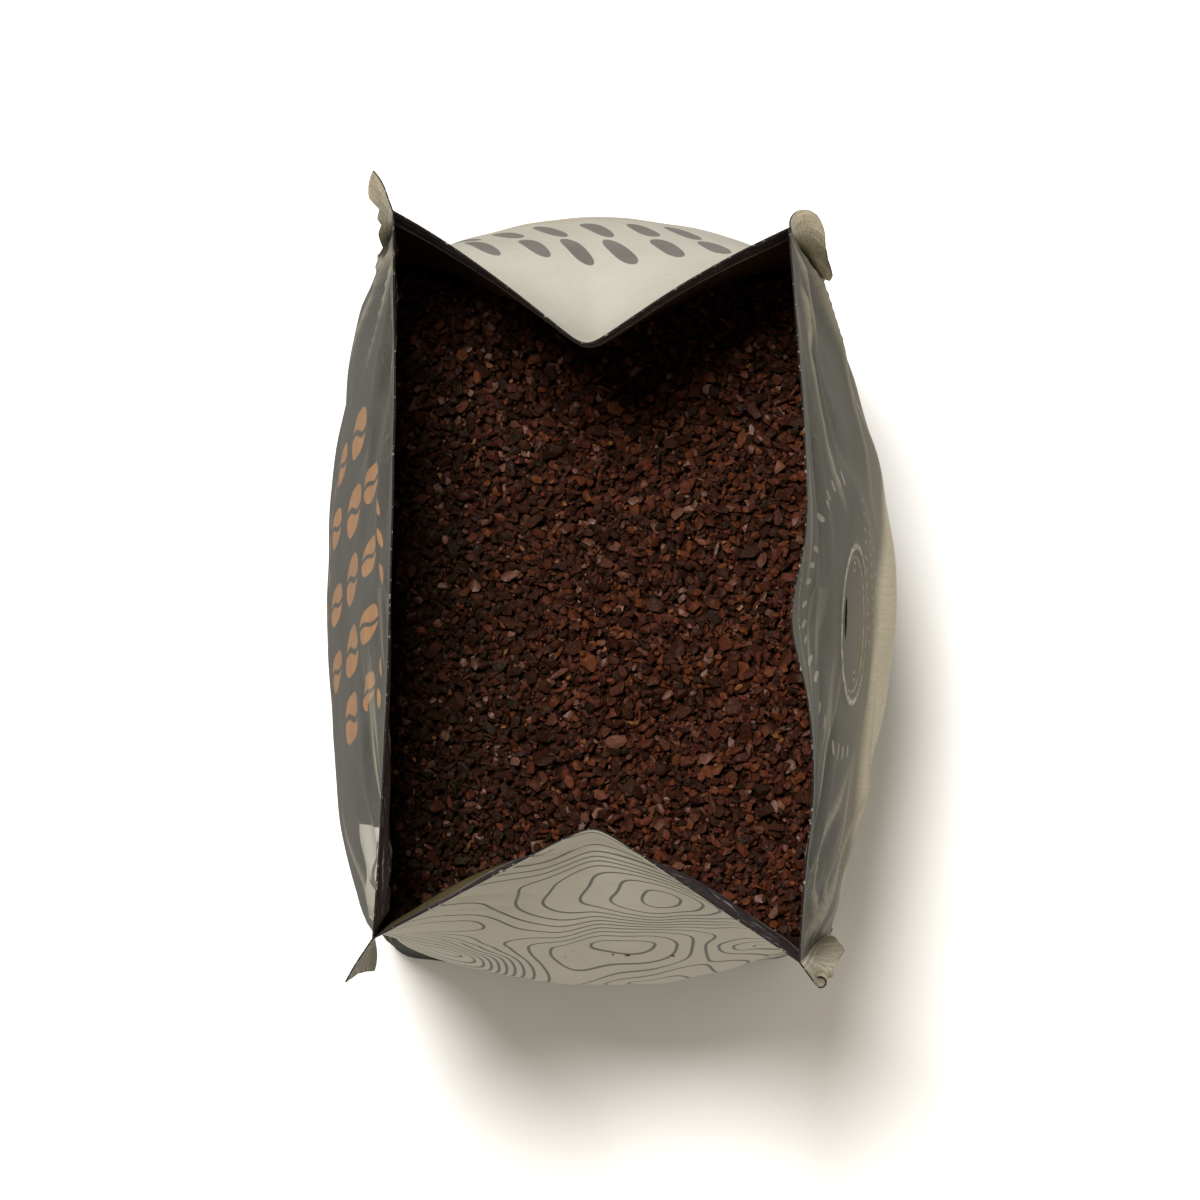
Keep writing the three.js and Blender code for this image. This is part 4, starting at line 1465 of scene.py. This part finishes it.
@dataclass
class Valve:
    """The one-way valve behind the right panel."""

    form: BagForm
    finish: ValveFinish
    segments: int = 64
    behind: float = 0.85
    profile: tuple = (
        (10.1, 0.0), (10.4, 0.3), (10.4, 1.0), (10.1, 1.3), (5.9, 1.3), (5.4, 1.7), (5.4, 3.1), (4.9, 3.6),
        (2.4, 3.6), (1.9, 3.3), (1.9, 2.7), (0.02, 2.7),
    )

    def build(self) -> bpy.types.Object:
        """Models the valve by drawing a disc out step by step.

        Returns:
            The finished piece.
        """
        bpy.ops.object.select_all(action="DESELECT")
        start = self.profile[0]
        bpy.ops.mesh.primitive_circle_add(vertices=self.segments, radius=start[0] * MM, fill_type="NGON")
        piece = bpy.context.object
        piece.name = "valve_disc"
        bpy.ops.object.mode_set(mode="EDIT")
        bpy.ops.mesh.select_all(action="SELECT")
        for (radius, height), (before, low) in zip(self.profile[1:], self.profile[:-1]):
            rise = -(height - low) * MM
            bpy.ops.mesh.extrude_region_move(TRANSFORM_OT_translate={"value": (0, 0, rise)})
            scale = radius / before
            bpy.ops.transform.resize(value=(scale, scale, 1), center_override=(0, 0, -height * MM))
        bpy.ops.mesh.select_all(action="SELECT")
        bpy.ops.mesh.normals_make_consistent(inside=False)
        bpy.ops.object.mode_set(mode="OBJECT")
        x, turn, rise = self.form.valve_plane()
        normal = Vector((1, -turn, -rise)).normalized()
        rotation = Vector((0, 0, 1)).rotation_difference(normal)
        place = Vector((x + MOUTH[0], self.form.valve_y + MOUTH[1], self.form.valve_height))
        place -= normal * self.behind
        for vertex in piece.data.vertices:
            vertex.co = rotation @ vertex.co + place * MM
        smooth_by_angle(piece, 35)
        return piece

    def dress(self, piece: bpy.types.Object) -> None:
        """Gives the valve its finish."""
        give_material(piece, self.finish.material())
        declare(piece, "valve")


@dataclass(frozen=True)
class Heap:
    """The surface of the ground coffee, with places measured from the middle of the mouth."""

    form: BagForm
    level: float = 109.0
    gap: float = 0.75
    cell: float = 0.25
    half_x: float = 40.0
    half_y: float = 57.0

    def height(self, x: Array, y: Array) -> Array:
        """Height of the heap's surface, in millimetres."""
        mound = 1.5 * np.exp(-(((x - 6) / 17) ** 2) - ((y + 6) / 24) ** 2)
        return self.level + mound + 1.1 * np.sin(x * 0.16 + 0.6) * np.cos(y * 0.12 - 0.8)

    def axes(self) -> tuple[Array, Array]:
        """Places of the height map's columns and rows."""
        xs = np.arange(-self.half_x, self.half_x, self.cell)
        return xs, np.arange(-self.half_y, self.half_y, self.cell)

    def room(self) -> Array:
        """Distance inwards from the film for each cell of the height map, negative outside."""
        ring = self.form.outline(BAG_HEIGHT - self.level, self.gap, 16)
        xs, ys = self.axes()
        x, y = np.meshgrid(xs[::2], ys[::2])
        best = np.full(x.shape, FAR)
        within = np.zeros(x.shape, bool)
        for a, b in zip(ring, np.roll(ring, -1, 0)):
            best = np.minimum(best, from_segment(x, y, a, b)[0])
            crosses = (a[1] > y) != (b[1] > y)
            across, along = b - a
            if abs(along) > 1e-9:
                within ^= crosses & (x < a[0] + (y - a[1]) / along * across)
        signed = np.where(within, best, -best)
        return np.repeat(np.repeat(signed, 2, 0), 2, 1)[: len(ys), : len(xs)]


@dataclass
class CoffeeCore:
    """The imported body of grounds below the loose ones."""

    heap: Heap
    finish: GrainFinish
    below: float = 2.1

    def build(self) -> bpy.types.Object:
        """Models the core as one closed body.

        Returns:
            The finished piece.
        """
        form, steps = self.heap.form, 44
        rings = []
        levels = [(1.4, 3.2), (2.6, 1.7), (5.0, 0.9)]
        levels += [(z, self.heap.gap) for z in (9, 20, 34, 48, 62, 76, 88, 98, 104)]
        for z, inset in levels:
            ring = form.outline(BAG_HEIGHT - z, inset, steps)
            rings.append(np.column_stack([ring, np.full(len(ring), z)]))
        floor_middle = np.array([0, BASE_MIDDLE_Y, levels[0][0]])
        under = [floor_middle + (rings[0] - floor_middle) * share for share in (0.0, 0.5)]
        top = form.outline(BAG_HEIGHT - self.heap.level, self.heap.gap, steps)
        over = []
        for share in (1.0, 0.985, *np.linspace(0.96, 0.0, 44)):
            flat = top * share
            z = self.heap.height(flat[:, 0], flat[:, 1]) - self.below
            z += 0.35 * ripples(flat[:, 0], flat[:, 1], 2.6, 5) * (share > 0)
            over.append(np.column_stack([flat, z]))
        points = np.array(under + rings + over)
        points = closed(points) + np.array([*MOUTH, 0])
        piece = new_grid("coffee_core", points.shape[1] - 1, points.shape[0] - 1)
        place_vertices(piece, points.reshape(-1, 3))
        close_mesh(piece, 2e-5)
        smooth_by_angle(piece, 60)
        return piece

    def dress(self, piece: bpy.types.Object) -> None:
        """Gives the core its finish."""
        give_material(piece, self.finish.core())
        declare(piece, "ground_coffee")


@dataclass(frozen=True)
class GrainKind:
    """One size and shape of grounds."""

    name: str
    count: int
    size: tuple[float, float]
    long: tuple[float, float]
    flat: tuple[float, float]
    detail: int
    cuts: int
    tint: tuple[float, float]
    variants: int = 28
    jitter: float = 0.12


GRAIN_KINDS = (
    GrainKind("coarse_grounds", 2000, (1.5, 3.2), (1.0, 1.5), (0.36, 0.66), 2, 12, (0.46, 0.2), jitter=0.09),
    GrainKind("medium_grounds", 7400, (0.9, 1.8), (1.0, 1.7), (0.42, 0.8), 1, 4, (0.5, 0.24), jitter=0.3),
    GrainKind("fine_grounds", 9600, (0.4, 0.85), (1.0, 1.8), (0.5, 0.9), 1, 3, (0.52, 0.26), jitter=0.28),
    GrainKind("splinters", 1000, (0.5, 0.95), (2.2, 4.0), (0.5, 0.9), 1, 3, (0.5, 0.24), jitter=0.2),
    GrainKind("chaff", 120, (0.45, 0.95), (1.0, 2.0), (0.12, 0.25), 1, 2, (0.985, 0.015), jitter=0.3),
)


@dataclass
class Grounds:
    """The loose grounds, dropped one after another onto a height map of the heap."""

    heap: Heap
    finish: GrainFinish
    seed: int = 7
    tries: int = 4
    sink: float = 0.3
    wall_share: float = 0.8
    packing: float = 0.9
    lean_spread: float = 0.35

    def shapes(self, kind: GrainKind, random: np.random.Generator) -> tuple[Array, Array]:
        """Broken shapes of radius 1 made by cutting flats into a ball.

        Args:
            kind: The kind of grounds.
            random: The source of chance.

        Returns:
            Vertices for each variant, and the triangles that they share.
        """
        bpy.ops.object.select_all(action="DESELECT")
        bpy.ops.mesh.primitive_ico_sphere_add(subdivisions=kind.detail, radius=1)
        ball = bpy.context.object
        points = np.array([v.co for v in ball.data.vertices])
        triangles = np.array([p.vertices for p in ball.data.polygons])
        bpy.ops.object.delete()
        variants = []
        for _ in range(kind.variants):
            shape = points * (1 + random.uniform(-kind.jitter, kind.jitter, (len(points), 1)))
            for _ in range(kind.cuts):
                normal = random.normal(size=3)
                normal /= np.linalg.norm(normal)
                over = np.maximum(shape @ normal - random.uniform(0.3, 0.74), 0)
                shape = shape - over[:, None] * normal
            variants.append(shape)
        return np.array(variants), triangles

    def cap(self, radius: float, thick: float) -> Array:
        """Height of the upper half of a ground over the cells round its middle."""
        reach = max(int(math.ceil(radius / self.heap.cell)), 1)
        span = np.arange(-reach, reach + 1) * self.heap.cell
        x, y = np.meshgrid(span, span)
        return np.sqrt(np.clip(1 - (x**2 + y**2) / radius**2, 0, None)) * thick

    def lowest_spot(
        self, spots: list[Array], surface: Array, wanted: Array, cap: Array
    ) -> tuple[float, int, int, Array] | None:
        """Finds where a ground comes to rest lowest, against the height wanted there.

        Args:
            spots: Cells to try, as row and column.
            surface: Height map of what lies there already.
            wanted: Height map of the finished heap.
            cap: Height of the ground round its middle.

        Returns:
            The resting height, the cell's row and column and its patch of the height map.
        """
        reach = cap.shape[0] // 2
        best, lowest = None, math.inf
        for row, column in spots:
            if min(row, column) < reach:
                continue
            patch = surface[row - reach:row + reach + 1, column - reach:column + reach + 1]
            if patch.shape != cap.shape:
                continue
            rest = float(np.max(np.where(cap > 0, patch + cap, -FAR)))
            lift = rest - wanted[row, column]
            if lift < lowest:
                best, lowest = (rest, row, column, patch), lift
        return best

    def drop_order(self, random: np.random.Generator) -> Array:
        """Order in which the kinds of grounds fall, the coarse ones earlier and the chaff later."""
        order = np.concatenate([np.full(kind.count, i) for i, kind in enumerate(GRAIN_KINDS)])
        earlier, later = 0, len(GRAIN_KINDS) - 1
        weights = random.uniform(0, 1, len(order))
        weights = weights + np.where(order == later, 0.5, 0) - np.where(order == earlier, 0.25, 0)
        return order[np.argsort(weights)]

    def settle(self) -> dict[str, Array]:
        """Drops every ground.

        Returns:
            For each kind, rows of x, y, z, three radii, turn and tilt.
        """
        random = np.random.default_rng(self.seed)
        heap = self.heap
        xs, ys = heap.axes()
        x, y = np.meshgrid(xs, ys)
        wanted = heap.height(x, y)
        surface = wanted - CoffeeCore.below
        room = heap.room()
        order = self.drop_order(random)
        open_cells = np.argwhere(room > 0.2)
        result: dict[str, list] = {kind.name: [] for kind in GRAIN_KINDS}
        for k in order:
            kind = GRAIN_KINDS[k]
            small, large = kind.size
            size = (small + (large - small) * random.beta(1.3, 2.2)) / 2
            length = size * random.uniform(*kind.long)
            thick = size * random.uniform(*kind.flat)
            turn = random.uniform(0, math.pi)
            radius = max((size + length) / 2 * 0.85, thick)
            cap = self.cap(radius, thick)
            spots = open_cells[random.integers(0, len(open_cells), self.tries)]
            roomy = [spot for spot in spots if room[tuple(spot)] >= radius * self.wall_share]
            best = self.lowest_spot(roomy, surface, wanted, cap)
            if best is None:
                continue
            rest, row, column, patch = best
            z = rest - self.sink * thick
            patch[:] = np.where(cap > 0, np.maximum(patch, z + cap * self.packing), patch)
            tilt = random.normal(0, self.lean_spread)
            result[kind.name].append((xs[column], ys[row], z, length, size, thick, turn, tilt))
        return {name: np.array(rows) for name, rows in result.items()}

    def join(self, kind: GrainKind, rows: Array, random: np.random.Generator) -> bpy.types.Object:
        """Makes one mesh of all the grounds of a kind.

        Args:
            kind: The kind of grounds.
            rows: Where each one lies, its radii and its turns.
            random: The source of chance.

        Returns:
            The finished piece.
        """
        variants, triangles = self.shapes(kind, random)
        count = len(rows)
        shape = variants[random.integers(0, len(variants), count)] * rows[:, None, 3:6]
        turn, tilt = rows[:, 6], rows[:, 7]
        lean = random.normal(0, self.lean_spread, count)
        y, z = turned(shape[..., 1], shape[..., 2], tilt)
        z, x = turned(z, shape[..., 0], lean)
        x, y = turned(x, y, turn)
        places = [x + rows[:, :1] + MOUTH[0], y + rows[:, 1:2] + MOUTH[1], z + rows[:, 2:3]]
        points = np.stack(places, -1).reshape(-1, 3) * MM
        size = variants.shape[1]
        faces = (triangles[None] + (np.arange(count) * size)[:, None, None]).reshape(-1, 3)
        piece = new_flat_shaded(kind.name, points, faces)
        set_points(piece, "tint", np.repeat(self.tints(kind, rows, random), size))
        return piece

    def tints(self, kind: GrainKind, rows: Array, random: np.random.Generator) -> Array:
        """Tint of each ground, with painted shade towards the left of the heap and painted light towards its
        lower right.
        """
        middle, spread = kind.tint
        tints = random.normal(middle, spread, len(rows))
        if spread > 0.1:
            # Painted shade dims the grounds at the left of the heap; painted light lifts those at its lower
            # right.
            painted_shade = 0.27 * (1 - smoothstep(rows[:, 0] + 0.16 * rows[:, 1], -25, -2))
            painted_light = 0.07 * smoothstep(rows[:, 0] - 0.5 * rows[:, 1], -4, 24)
            tints = np.clip(tints - painted_shade + painted_light, 0.0, 0.93)
        return np.clip(tints, 0.0, 1.0)

    def build(self) -> list[bpy.types.Object]:
        """Drops the grounds and makes one piece of each kind."""
        resting = self.settle()
        random = np.random.default_rng(self.seed + 1)
        return [self.join(kind, resting[kind.name], random) for kind in GRAIN_KINDS]

    def dress(self, pieces: list[bpy.types.Object]) -> None:
        """Gives all the grounds their finish."""
        material = self.finish.material()
        for piece in pieces:
            piece.data.materials.append(material)
            declare(piece, "ground_coffee")


@dataclass(frozen=True)
class Studio:
    """The plain floor, the soft light and the camera."""

    camera: tuple[float, float, float] = (1.27, -14.35, 1070.0)
    target: tuple[float, float, float] = (-1.29, -1.55, 170.0)
    half_angle: float = 4.877
    light_direction: tuple[float, float, float] = (-0.096, 0.205, 1.0)
    light_distance: float = 1600.0
    light_size: float = 330.0
    light_power: float = 34.0
    ambient: tuple[float, float, float] = (0.46, 0.42, 0.345)

    def build(self) -> None:
        """Adds the floor, the light, the surroundings and the camera."""
        self.add_floor()
        self.add_light()
        self.add_surroundings()
        self.add_camera()
        bpy.context.scene.view_settings.view_transform = "Standard"

    def add_floor(self) -> None:
        """Adds the floor, white to the camera and greyer for the light that it returns."""
        bpy.ops.object.select_all(action="DESELECT")
        bpy.ops.mesh.primitive_plane_add(size=6)
        floor = bpy.context.object
        floor.name = "floor"
        material, g, shader = new_material("floor")
        place = g.on_object()
        tone = g.noise(place, 3.0, 2.0)
        seen = g.mix(tone, (0.93, 0.93, 0.93), (0.95, 0.95, 0.95))
        straight = g.add_node("LightPath").outputs["Is Camera Ray"]
        shown = g.mix(straight, (0.44, 0.43, 0.41), seen)
        g.feed_all(shader, Base_Color=shown, Roughness=1.0, Specular_IOR_Level=0.0)
        floor.data.materials.append(material)

    def add_light(self) -> None:
        """Adds the soft light above the bag."""
        direction = Vector(self.light_direction).normalized()
        lamp = bpy.data.lights.new("key", "AREA")
        lamp.shape = "DISK"
        lamp.size = self.light_size * MM
        lamp.energy = self.light_power
        lamp.color = (1.0, 0.99, 0.972)
        key = bpy.data.objects.new("key", lamp)
        key.location = direction * self.light_distance * MM
        key.rotation_euler = direction.to_track_quat("Z", "Y").to_euler()
        bpy.context.collection.objects.link(key)

    def add_surroundings(self) -> None:
        """Gives the surroundings their even light."""
        world = bpy.context.scene.world or bpy.data.worlds.new("world")
        bpy.context.scene.world = world
        world.use_nodes = True
        background = world.node_tree.nodes["Background"]
        background.inputs["Color"].default_value = (*self.ambient, 1.0)
        background.inputs["Strength"].default_value = 1.0

    def add_camera(self) -> None:
        """Adds the camera above the mouth."""
        data = bpy.data.cameras.new("camera")
        data.sensor_width = 36.0
        data.lens = 18.0 / math.tan(math.radians(self.half_angle))
        data.clip_start, data.clip_end = 0.05, 10.0
        camera = bpy.data.objects.new("camera", data)
        camera.location = Vector(self.camera) * MM
        back = (Vector(self.camera) - Vector(self.target)).normalized()
        right = Vector((0, 1, 0)).cross(back).normalized()
        camera.rotation_euler = Matrix((right, back.cross(right), back)).transposed().to_euler()
        bpy.context.collection.objects.link(camera)
        bpy.context.scene.camera = camera


def main() -> None:
    """Builds the bag, the coffee and the studio in order, and hands them to the frame."""
    logging.basicConfig(level=logging.INFO, format="%(name)s %(message)s")
    form = BagForm()
    effects = Effects()
    film_finish = FilmFinish(effects)
    grain_finish = GrainFinish(effects)

    film = Film(form, film_finish)
    seal, edge = film_finish.seal(), film_finish.cut_edge()
    film.dress(film.build(), edge)
    for shape in FIN_SHAPES:
        fin = Fin(form, shape)
        fin.dress(fin.build(), seal, edge)
    valve = Valve(form, ValveFinish())
    valve.dress(valve.build())

    heap = Heap(form)
    core = CoffeeCore(heap, grain_finish)
    core.dress(core.build())
    grounds = Grounds(heap, grain_finish)
    grounds.dress(grounds.build())

    Studio().build()


if __name__ == "__main__":
    main()
